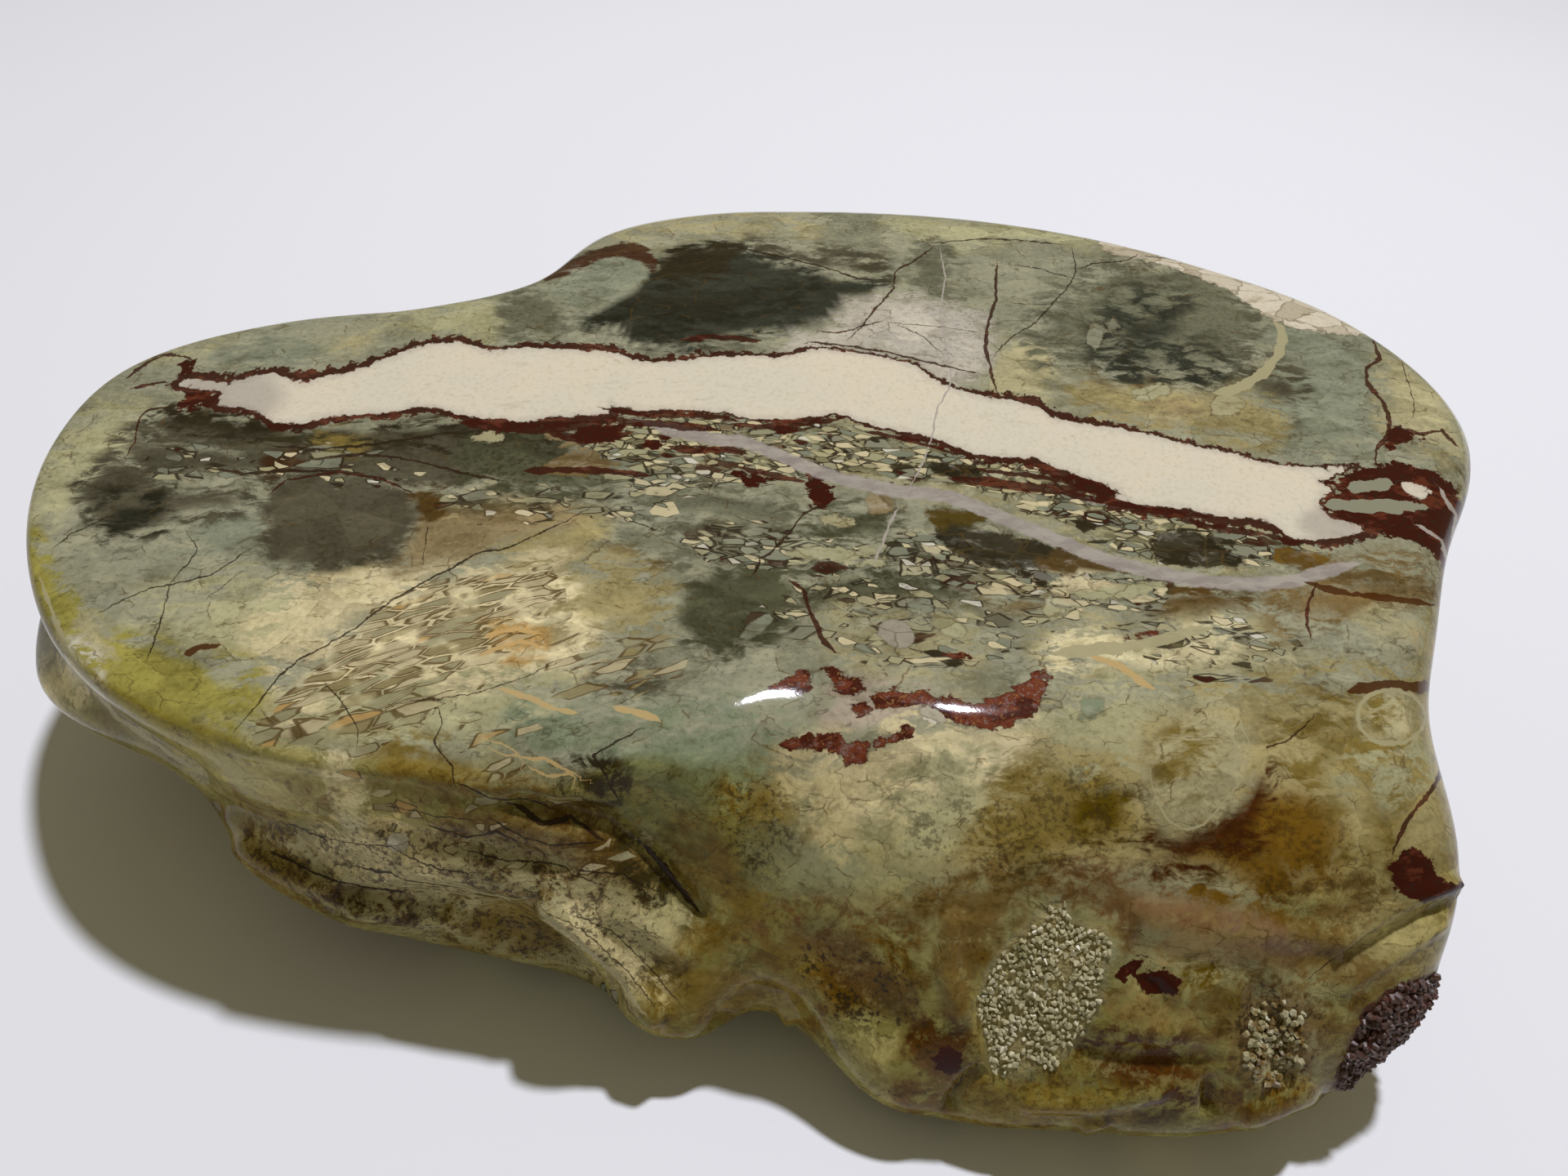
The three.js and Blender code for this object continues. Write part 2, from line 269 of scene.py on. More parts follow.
# Soft-edged patches of ground, laid over each other in this order: colour, the width over which the
# edge fades in millimetres, and the outline.
GROUND = {
    # The top behind the seam.
    "back rim": ("sage", 2, "150,470 190,430 300,395 560,375 560,410 420,445 240,455"),
    "pale back rim left": ("straw", 3, oval(215, 415, 60, 12, 12)),
    "grey-green behind the tip": ("celadon", 2, oval(340, 432, 70, 14, 4)),
    "cream on the back rim": ("bone", 2, oval(432, 418, 22, 14)),
    "straw on the back rim": ("straw", 2, "440,405 500,380 560,375 600,372 600,400 520,405"),
    "hump rim": ("sage", 2,
        "630,350 700,300 820,255 1040,250 1200,262 1200,310 1100,345 1000,330 900,300 800,305 740,315 "
        "680,345"
    ),
    "light on the hump rim": ("bone", 4, oval(880, 280, 120, 10, 2)),
    "grey under the hump rim": ("slate", 3, "900,297 990,305 1050,312 1095,335 1050,338 960,318"),
    "hump left": ("straw", 2, "560,380 610,370 625,395 610,418 570,412"),
    "hump middle": ("sage", 2, "640,350 700,330 760,350 740,380 700,400 650,400 620,380"),
    "grey stripes": ("heath", 2, "618,372 650,362 690,372 700,395 720,410 630,418 612,400"),
    "hump dark": ("blue_slate", 1.4,
        "720,388 742,370 775,355 797,340 812,315 845,305 870,297 902,299 918,316 960,322 1000,330 1040,342 "
        "1092,347 1060,365 1030,380 1015,395 960,400 900,412 850,418 825,428 770,425 768,405 728,398"
    ),
    "hump core": ("basalt", 3,
        "735,388 775,362 830,348 890,352 960,350 1000,345 985,365 900,385 860,398 770,400"
    ),
    "hump brown": ("moss", 1.2, "802,325 830,306 880,298 905,305 895,325 870,342 810,340"),
    "tan wedge": ("celadon", 1,
        "645,358 700,340 735,320 760,312 785,318 797,338 780,352 760,364 735,374 690,372"
    ),
    "yellow rim at the back": ("straw", 2, "1060,262 1200,268 1340,288 1345,305 1200,300 1120,300"),
    "field right of the crack": ("sage", 2, "1220,300 1330,305 1320,345 1280,385 1230,420 1210,400"),
    "beige round": ("bone", 2, oval(1258, 455, 48, 40, -20)),
    "right field": ("sage", 3,
        "1290,340 1400,315 1500,330 1600,390 1690,420 1690,560 1560,560 1400,520 1300,495 1270,430"
    ),
    "dark field": ("heath", 5,
        "1255,418 1275,390 1330,350 1380,328 1440,322 1500,345 1540,385 1535,420 1500,455 1420,462 "
        "1340,455 1290,440"
    ),
    "pale upper field": ("heath", 4,
        "1320,350 1400,325 1490,330 1530,365 1500,375 1440,372 1370,375 1310,385"
    ),
    "dark core": ("blue_slate", 6, oval(1410, 408, 54, 34, 4)),
    "pale blobs in the core": ("heath", 4, oval(1480, 420, 25, 30)),
    "green-grey right of the swirl": ("celadon", 3,
        "1560,400 1640,400 1690,430 1690,550 1600,560 1530,500 1560,460"
    ),
    "dark right of the swirl": ("slate", 4, oval(1563, 478, 32, 24, -30)),
    "olive under the core": ("walnut", 1.6, oval(1385, 466, 62, 11)),
    "clast bed": ("sand", 3, "1300,470 1380,465 1480,470 1560,490 1560,545 1450,525 1330,505"),
    "dark core foot": ("blue_slate", 5, oval(1425, 444, 66, 12, -4)),
    "peach clast": ("fawn", 2, oval(1440, 495, 32, 12)),
    "right rim back": ("bone", 3, "1690,430 1760,460 1800,540 1800,570 1720,540 1690,490"),
    # The top in front of the seam, at the left end.
    "left end": ("straw", 3, "30,640 60,560 120,495 190,500 180,550 120,590 85,620 60,690"),
    "left field": ("sage", 4, "60,640 140,655 330,620 340,690 300,760 230,800 170,785 110,740 70,690"),
    "cool field": ("celadon", 5, oval(285, 650, 65, 38, 10)),
    "straw field": ("straw", 5, "170,760 330,700 430,690 400,760 340,830 250,810 190,800"),
    "cream field": ("cream", 5,
        "320,770 400,690 500,680 560,655 620,645 560,700 480,740 400,800 340,840"
    ),
    "fawn field": ("fawn", 3, "500,605 700,600 770,640 730,660 640,660 560,695 480,700 500,650"),
    "tan field": ("tan", 3, "560,590 700,596 770,610 700,620 620,618 560,612"),
    "sand field": ("sand", 3, "590,695 690,640 730,620 760,640 745,700 640,722 560,715"),
    "dark band under the seam": ("moss", 2,
        "180,500 300,510 380,528 560,513 640,525 700,525 700,590 600,585 540,580 400,575 240,548 195,530"
    ),
    "striped bed": ("slate", 3,
        "160,520 200,530 300,552 420,545 560,540 620,600 480,600 330,588 180,590 150,560"
    ),
    "blue-green bed": ("bed", 3, "570,545 640,540 680,555 760,585 790,600 690,602 600,598 570,580"),
    "gold spot": ("olive", 2, oval(411, 544, 22, 10)),
    "lower gold spot": ("umber", 2, oval(365, 575, 35, 9)),
    "left dark patch": ("slate", 2.2,
        "90,608 110,588 135,560 160,565 195,578 205,600 325,600 300,622 230,636 190,652 160,664 120,658 "
        "108,640"
    ),
    "left dark core": ("basalt", 2.5, oval(163, 630, 45, 22, 4)),
    "grey patch": ("slate", 1.2,
        "325,605 350,590 410,580 470,588 502,605 512,632 490,665 462,685 400,692 330,690 318,680 328,650"
    ),
    "brown edge of the grey patch": ("walnut", 1.2, "495,590 548,602 545,616 532,636 505,632"),
    # The middle of the top.
    "middle": ("sage", 4,
        "740,600 900,560 1200,610 1450,710 1600,720 1600,850 1300,850 900,850 760,800"
    ),
    "chips and red below the seam": ("bone", 2,
        "700,530 800,510 1000,520 1150,548 1300,590 1400,625 1560,650 1600,690 1440,690 1250,625 1050,580 "
        "900,580 780,590"
    ),
    "green-grey oval": ("heath", 2,
        "790,585 850,600 920,605 960,625 975,650 950,660 880,640 820,630 780,610"
    ),
    "dark brush left": ("heath", 3, oval(790, 665, 48, 22, -8)),
    "brown below the brush": ("walnut", 2, oval(768, 696, 30, 8)),
    "dark middle patch": ("bed", 2,
        "820,740 850,705 920,692 970,705 985,740 960,780 905,800 870,805 835,785"
    ),
    "grey-green middle": ("bed", 3, "985,630 1090,625 1110,668 1030,675 990,660"),
    "striped green": ("bed", 4, "985,705 1040,695 1120,697 1190,712 1180,745 1100,752 1010,745"),
    "pale middle": ("bone", 4, oval(1110, 780, 90, 24, -4)),
    "beige bed": ("fawn", 3, "1190,690 1300,700 1290,740 1220,735"),
    "brown bar right": ("walnut", 2, "1400,722 1480,718 1530,735 1520,752 1430,752 1390,740"),
    "pink druse": ("pink_grey", 2.2, "1008,842 1060,834 1110,842 1160,858 1120,886 1060,896 1010,890"),
    "pale right of the middle": ("bone", 4,
        "1280,770 1400,760 1520,770 1640,800 1600,830 1400,830 1290,810"
    ),
    "cream tongue": ("ivory", 3, "1290,790 1400,800 1480,765 1520,780 1460,800 1420,830 1300,815"),
    "right bed": ("tan", 4, "1560,730 1640,700 1770,690 1760,760 1640,765 1570,770"),
    "peach bed": ("bone", 3, oval(1715, 770, 45, 22)),
    "orange spot right": ("ochre", 2, oval(1735, 798, 18, 10)),
    "green bed right": ("sage", 3, "1590,790 1720,790 1757,815 1750,835 1620,830"),
    "pale right field": ("straw", 4, "1380,840 1600,835 1640,860 1560,890 1500,870 1400,870"),
    # The left shoulder and the striated cream.
    "striated cream": ("cream", 3,
        "470,722 640,690 725,705 752,750 745,800 690,835 600,850 430,905 300,915 340,850 420,780"
    ),
    "yellower shoulder": ("straw", 4, "300,915 420,830 560,820 720,850 700,890 560,920 420,925"),
    "orange stain": ("ochre", 2, "585,790 600,770 650,768 675,780 660,800 620,795"),
    "middle left cream": ("sand", 4, oval(750, 740, 60, 35)),
    "grey spot under the ridge": ("slate", 3, oval(768, 838, 28, 14)),
    "yellow rim": ("lichen", 1.6,
        "38,645 60,690 80,732 120,772 172,780 215,792 262,822 315,905 250,945 180,895 105,825 55,765 "
        "36,710"
    ),
    "lichen pool": ("lichen", 4, oval(255, 855, 55, 32, 20)),
    "pale rim spots": ("bone", 1.5, oval(120, 785, 30, 14, -40)),
    "left shoulder": ("straw", 4, "240,900 320,905 400,925 430,960 390,1000 300,990 240,950"),
    "olive shoulder": ("olive", 3, "430,905 560,915 620,935 600,960 500,945 440,930"),
    "yellow shoulder": ("straw", 2, "560,905 620,915 690,930 700,945 640,945 580,925"),
    "grey-green shoulder": ("teal", 4, "620,880 760,875 800,900 720,930 660,915"),
    # Near-white on the bulge under the left rim: a painted reflection of the lit floor.
    "painted floor reflection on the bulge under the left rim": ("chalk", 3, oval(66, 838, 30, 52, -60)),
    # The front, from left to right.
    "front ground": ("sand", 5,
        "960,950 1100,900 1290,860 1500,845 1770,825 1800,900 1800,1090 1600,1120 1400,1080 1200,1080 "
        "1000,1060"
    ),
    "left wall": ("bone", 5,
        "300,985 450,1000 620,990 760,1000 850,1110 880,1240 780,1230 620,1180 480,1140 330,1100 260,1020"
    ),
    "lobe": ("olive", 4, "250,1000 330,1020 400,1060 430,1110 330,1100 270,1050"),
    "brown streaks in the wall": ("walnut", 4, "380,1060 470,1085 520,1110 440,1115 380,1095"),
    "concave under the wall": ("olive", 3, "560,1115 660,1095 690,1130 700,1180 620,1172 560,1150"),
    "pale part of the wall": ("cream", 4, "400,1010 480,1008 545,1040 560,1085 480,1075 410,1045"),
    "brown part of the wall": ("tan", 5,
        "545,985 620,975 700,985 780,1020 840,1095 800,1110 740,1092 660,1072 590,1045 545,1015"
    ),
    "hollow": ("walnut", 4, "690,1000 745,1008 795,1045 850,1120 800,1105 740,1062 700,1030"),
    "dark hollow core": ("basalt", 4, "770,1050 800,1060 850,1125 820,1110"),
    "pale ridge": ("cream", 3, "690,1118 755,1124 845,1180 832,1250 790,1237 742,1185"),
    "grey facet": ("bone", 3, "740,1120 820,1150 830,1190 770,1190"),
    "wall foot": ("olive", 4, "790,1190 930,1160 950,1210 890,1250 820,1250"),
    "teal": ("teal", 5, "700,900 880,880 960,900 960,960 900,1010 820,1010 760,960 690,930"),
    "lichen below the teal": ("olive", 4, "900,950 960,940 990,990 960,1050 900,1020"),
    "dark fork": ("moss", 3, "715,925 760,945 760,985 700,970 690,945"),
    "dark green spot": ("deep_olive", 4, oval(868, 1030, 30, 18)),
    "yellow-olive": ("olive", 4, "850,1020 930,1040 960,1110 930,1150 870,1130 840,1080"),
    "pale green below": ("celadon", 4, "930,1010 1060,1010 1080,1080 980,1110 930,1080"),
    "cream front": ("cream", 5,
        "960,930 1040,920 1120,890 1290,870 1290,920 1200,1000 1120,1040 1000,1010"
    ),
    "sandy front": ("straw", 5, "1120,960 1200,930 1230,990 1180,1060 1110,1080 1060,1040"),
    "olive front": ("olive", 5, "1240,965 1340,900 1400,960 1420,1040 1300,1060 1225,1078 1200,1045"),
    "dark olive spots": ("deep_olive", 3, oval(1358, 985, 28, 42)),
    "pale green front": ("straw", 5, "1300,870 1420,840 1420,930 1360,930 1320,920"),
    "brown mauve": ("mauve", 5, "940,1138 1020,1125 1075,1128 1115,1158 1000,1195 950,1184"),
    "brown hollow": ("rust", 4, "960,1170 1060,1150 1140,1200 1130,1270 1050,1260 980,1230"),
    "yellow hollow": ("deep_olive", 4, "1050,1200 1130,1210 1130,1280 1070,1270"),
    "pale foot": ("straw", 4, "1010,1280 1080,1270 1110,1330 1060,1345 1010,1320"),
    "tan column": ("tan", 4, "1130,1080 1260,1060 1230,1140 1200,1260 1140,1250"),
    "umber foot": ("umber", 2.5, oval(1157, 1296, 38, 34)),
    "mauve foot": ("mauve", 4, "1110,1320 1180,1310 1190,1345 1120,1352"),
    "mauve front": ("mauve", 5,
        "1290,1075 1420,1070 1500,1095 1640,1120 1650,1180 1560,1210 1430,1160 1340,1130"
    ),
    "lilac front": ("lilac", 5, "1480,1118 1560,1122 1640,1138 1620,1176 1540,1176 1480,1150"),
    "sand under the mauve": ("fawn", 4, "1400,1130 1500,1140 1560,1180 1500,1200 1420,1190"),
    "olive below": ("deep_olive", 4, "1450,1190 1560,1200 1540,1270 1480,1250"),
    "cream below": ("fawn", 4, "1360,1240 1480,1240 1480,1285 1370,1275"),
    "umber below": ("umber", 4, "1320,1280 1480,1290 1500,1330 1420,1350 1330,1330"),
    "olive foot": ("olive", 4, "1190,1330 1340,1320 1380,1370 1260,1382 1190,1365"),
    "rusty front": ("rust", 5, "1420,1030 1520,950 1600,940 1660,1000 1650,1080 1560,1110 1450,1080"),
    "umber arc": ("umber", 3,
        "1395,1042 1450,1030 1480,1004 1512,972 1540,936 1565,950 1558,1000 1510,1056 1420,1068"
    ),
    "right front": ("olive", 5, "1560,890 1760,840 1760,1000 1700,1060 1660,1040 1650,960"),
    "straw right front": ("straw", 5, oval(1700, 945, 40, 28)),
    "pale corner": ("sand", 3, "1720,980 1780,990 1795,1080 1770,1110 1750,1060"),
    "right wall": ("tan", 4, "1600,1080 1720,1080 1780,1110 1760,1190 1680,1230 1600,1200"),
    "pale facet": ("bone", 2, "1640,1140 1710,1105 1770,1120 1750,1170 1700,1190"),
    "vuggy bed": ("tan", 4, "1500,1220 1620,1210 1660,1250 1620,1330 1520,1350 1480,1300"),
    "pale vug": ("bone", 2, "1530,1280 1590,1290 1570,1330 1520,1340"),
    "foot right": ("rust", 4, "1490,1340 1620,1330 1600,1370 1520,1385"),
    "left nodule": ("bone", 2.2,
        "1410,905 1430,874 1475,862 1518,878 1532,915 1526,952 1502,984 1476,1012 1452,1022 1430,1008 "
        "1412,972 1406,938"
    ),
    "left nodule core": ("olive", 3, oval(1452, 930, 20, 30)),
    "right nodule": ("bone", 1.6, oval(1703, 878, 44, 36)),
    "right nodule core": ("olive", 3, oval(1698, 870, 20, 13)),
    "bed of the crystals": ("sand", 0.8,
        "1300,1092 1312,1128 1370,1140 1352,1190 1345,1235 1322,1278 1296,1300 1262,1310 1222,1335 "
        "1205,1280 1192,1225 1212,1178 1262,1128"
    ),
    "bed of the crumbs": ("tan", 2, oval(1558, 1268, 34, 52, 12)),
    # Near-white on the left ridge: partly the lilac-white streak's own colour, partly a painted highlight.
    "lilac streak and painted highlight on the left ridge": ("chalk", 1.3, "402,925 440,910 446,950 456,985 430,1010 410,985 402,955"),
    "grey by the crack": ("heath", 2, "1118,300 1160,300 1166,345 1150,372 1125,360 1124,330"),
    "crackled white": ("ash", 1.6,
        "985,402 1020,397 1045,375 1085,360 1130,366 1165,380 1215,392 1210,450 1165,465 1120,440 1090,432 "
        "1040,424 1000,418 960,425"
    ),
    "dark hollow of the notch": ("olive", 4, "900,1180 960,1170 990,1210 950,1235 900,1240"),
    # The right end.
    "right wall above": ("walnut", 3, "1757,690 1800,640 1800,560 1790,660"),
}

# Patches with crisp edges, laid over the ground in this order.
INLAYS = {
    "white rim": ("seam_cream",
        "1342,286 1400,294 1500,326 1600,366 1690,410 1640,410 1590,402 1560,393 1522,366 1488,345 "
        "1420,322 1350,309"
    ),
    "streak over the hump": ("russet",
        "655,345 690,322 735,303 775,296 795,305 806,322 800,340 788,322 762,313 735,315 705,332 680,345"
    ),
    "yellow clast": ("straw", "1385,478 1410,470 1440,470 1435,485 1400,492 1382,490"),
    "pale clast": ("bone", "1478,500 1490,483 1520,485 1525,500 1505,510 1485,512"),
    "cream strip": ("bone", "573,542 585,528 605,526 628,540 610,544 590,538"),
    "pink strip": ("fawn", "664,526 690,535 730,552 775,578 750,574 700,552 668,536"),
    "grey lens": ("tan", "655,575 680,558 720,556 760,574 720,582 680,584"),
    "olive band left": ("moss",
        "1140,640 1190,645 1240,655 1300,672 1345,690 1320,702 1250,698 1190,692 1150,665"
    ),
    "olive band end": ("walnut", "1250,668 1310,680 1370,690 1400,700 1330,704 1270,700"),
    "yellow wedge": ("deep_olive", "1130,622 1170,620 1220,636 1180,645 1135,640"),
    "olive band right": ("moss", "1415,650 1470,650 1490,670 1540,690 1480,696 1430,690 1405,670"),
    "brown right of the band": ("rust", "1555,670 1600,672 1640,680 1600,700 1565,692"),
    "green shards": ("moss", "1130,560 1180,572 1230,586 1190,590 1140,580"),
    "tall chip": ("straw", "1270,720 1285,722 1300,755 1290,765 1275,745"),
    "long chip": ("straw", "1310,722 1360,718 1440,710 1410,726 1370,734 1320,732"),
    "upper long chip": ("cream", "1270,708 1320,706 1375,712 1340,718 1290,716"),
    "left chip row": ("straw", "960,672 1010,668 1050,676 1090,684 1088,694 1040,690 1000,686 965,684"),
    "pink patch": ("fawn", "1060,605 1085,600 1100,622 1080,632 1060,625"),
    "cream wedge": ("bone", "1000,628 1040,632 1050,645 1010,645"),
    "white by the druse": ("chalk", oval(1145, 872, 18, 14)),
    "green square": ("teal", "1322,855 1352,852 1352,880 1322,882"),
    "white shards": ("chalk", "470,1028 495,1024 500,1038 478,1042"),
    "pale edge of the hollow": ("bone", "785,1015 800,1028 802,1048 790,1038"),
}

# Smaller crisp patches, laid over those.
OVERLAYS = {
    "pale drop": ("sage", oval(1341, 410, 10, 20, -10)),
    "pale drop beside it": ("sage", oval(1365, 400, 6, 14)),
    "pale oval": ("celadon", oval(927, 768, 24, 9, 34)),
    "pale cobble": ("ash", oval(1098, 776, 24, 16, -20)),
    "pale cobble right": ("straw", oval(1160, 765, 26, 12, -30)),
}

# Dark red jasper with crisp edges.
REDS = {
    "blob at the tip": "222,440 240,438 240,450 228,462 222,455",
    "tongue at the tip": "214,500 225,485 232,478 262,480 272,486 262,494 238,498 225,503",
    "patch at 700": "696,530 730,518 765,518 778,528 750,538 720,548 705,540",
    "patch at 800": "775,545 800,532 822,534 815,545 790,552",
    "patch at 870": "835,560 860,550 900,548 905,555 870,560",
    "patch at 960": "938,530 960,518 985,520 980,530 955,535",
    "patch at 1120": "1095,540 1120,530 1138,540 1120,548",
    "cluster": "990,575 1000,565 1008,590 1024,605 1012,625 995,620 985,605",
    "cluster above": "958,560 985,572 995,585 975,580",
    "reds at 920": "890,575 920,580 960,590 940,595 905,590",
    "thick part": "1300,575 1340,585 1375,600 1360,612 1320,600",
    "right mass": (
        "1640,582 1680,570 1710,567 1750,575 1786,600 1796,640 1784,690 1768,712 1762,690 1738,665 "
        "1700,655 1660,648 1640,640 1625,622 1640,605 1632,592"
    ),
    "ring left": "1615,612 1640,602 1650,612 1640,630 1700,642 1660,645 1625,632",
    "junction": "1690,548 1702,529 1715,519 1724,530 1752,531 1742,539 1716,542 1700,556",
    "spike": "1612,590 1640,580 1660,592 1630,596",
    "front spot": (
        "1710,1045 1735,1030 1755,1055 1755,1080 1785,1080 1785,1092 1745,1108 1715,1098 1700,1070"
    ),
    "hook by the crystals": "1368,1190 1395,1172 1420,1168 1400,1182 1390,1200 1375,1205",
    "spot by the crystals": "1390,1200 1420,1185 1440,1200 1452,1222 1420,1220 1400,1214",
    "brown pool": "1140,1292 1160,1275 1180,1290 1170,1312 1150,1312",
}

# Brick-red jasper on the front edge of the top.
BRICKS = {
    "druse": (
        "1060,848 1100,838 1150,850 1200,862 1240,840 1270,822 1292,822 1285,850 1262,880 1215,897 "
        "1170,890 1150,862 1110,865 1075,870"
    ),
    "lower rim": (
        "950,905 985,900 1018,896 1050,905 1085,905 1125,885 1110,908 1068,915 1062,935 1035,938 1020,918 "
        "985,918 960,915"
    ),
    "left tongue": "930,848 960,830 985,818 1000,835 985,850 950,852",
    "tongue": "1010,815 1040,830 1060,838 1040,850 1015,838",
    "bit left": "1042,866 1060,858 1076,870 1064,882 1048,878",
    "shard left": "1150,800 1200,798 1180,806 1155,806",
    "shard right": "1370,778 1410,772 1435,772 1410,782 1380,783",
}

# The white seam. Its corners are kept, so its edge stays jagged.
SEAM_OUTLINE = (
    "215,470 228,463 262,466 285,468 310,459 335,456 355,462 370,470 385,462 420,457 450,447 480,436 "
    "500,427 530,420 560,417 580,423 600,430 640,425 700,427 760,432 775,440 800,443 830,441 870,436 "
    "930,434 950,438 1000,426 1040,430 1090,438 1120,446 1140,462 1165,474 1200,484 1245,491 1270,498 "
    "1290,511 1320,517 1380,526 1420,534 1480,549 1505,551 1530,561 1560,567 1600,572 1650,569 1670,570 "
    "1640,580 1615,590 1635,600 1612,612 1630,634 1690,646 1650,657 1610,662 1580,660 1560,643 1540,636 "
    "1500,634 1440,622 1400,621 1370,612 1350,604 1372,600 1330,586 1290,572 1265,560 1230,561 1190,556 "
    "1155,541 1130,534 1080,524 1050,516 1030,506 990,512 960,514 915,514 890,506 830,502 790,504 745,496 "
    "745,508 680,511 640,517 590,513 560,508 540,500 510,499 480,505 440,507 400,511 370,520 335,518 "
    "320,506 290,499 262,496 272,487 268,480 232,476"
)
SEAM_PATCHES = [
    "1712,588 1735,592 1760,606 1740,614 1718,604",
]
# Where the white turns grey-lilac: the place in the photograph and how far it reaches, in pixels.
LILAC_TINTS = {"tip": (280, 484, 75), "right end": (1630, 640, 45)}

# How wide the dark red lining is along the seam, in millimetres: at the place in the photograph.
LINING = [
    (220, 470, 0.9), (380, 460, 1.1), (500, 425, 0.9), (620, 428, 0.7), (750, 432, 0.8), (830, 440, 0.8),
    (950, 432, 0.5), (1050, 428, 0.25), (1150, 460, 0.4), (1270, 495, 1.0), (1400, 528, 0.55),
    (1500, 548, 0.4), (1600, 570, 0.25), (300, 505, 0.8), (420, 513, 0.7), (520, 505, 0.9),
    (600, 520, 1.3), (700, 520, 1.1), (820, 510, 0.7), (900, 516, 0.25), (980, 520, 0.5),
    (1060, 520, 0.4), (1120, 535, 0.8), (1200, 560, 0.9), (1280, 575, 1.2), (1350, 600, 1.4),
    (1400, 625, 1.1), (1500, 640, 1.3), (1580, 665, 0.8), (1650, 665, 0.9),
]

# The lilac-grey vein: its course and half width in millimetres.
VEIN = (
    "775,512 820,527 870,538 910,541 940,552 965,562 1000,577 1040,589 1090,600 1130,604 1160,608 1200,622 "
    "1240,640 1280,655 1320,672 1360,688 1400,697 1440,706 1480,712 1530,715 1580,712 1610,703 1650,693 "
    "1672,688"
)
VEIN_HALF_WIDTH = 1.0

# The clouds of colour on the far sides: colour, which of three noises, its sign and its level.
FAR_CLOUDS = (
    ("straw", 0, 1, 0.08), ("slate", 1, 1, 0.26), ("bone", 2, 1, 0.16), ("olive", 0, -1, 0.2),
    ("walnut", 1, -1, 0.3), ("cream", 2, -1, 0.34), ("rust", 0, -1, 0.42),
)

# The tones of the lines below. A tone between two of these is a mix of both.
LINE_TONES = ("crack", "red", "vein", "ochre", "bone", "umber", "sage")
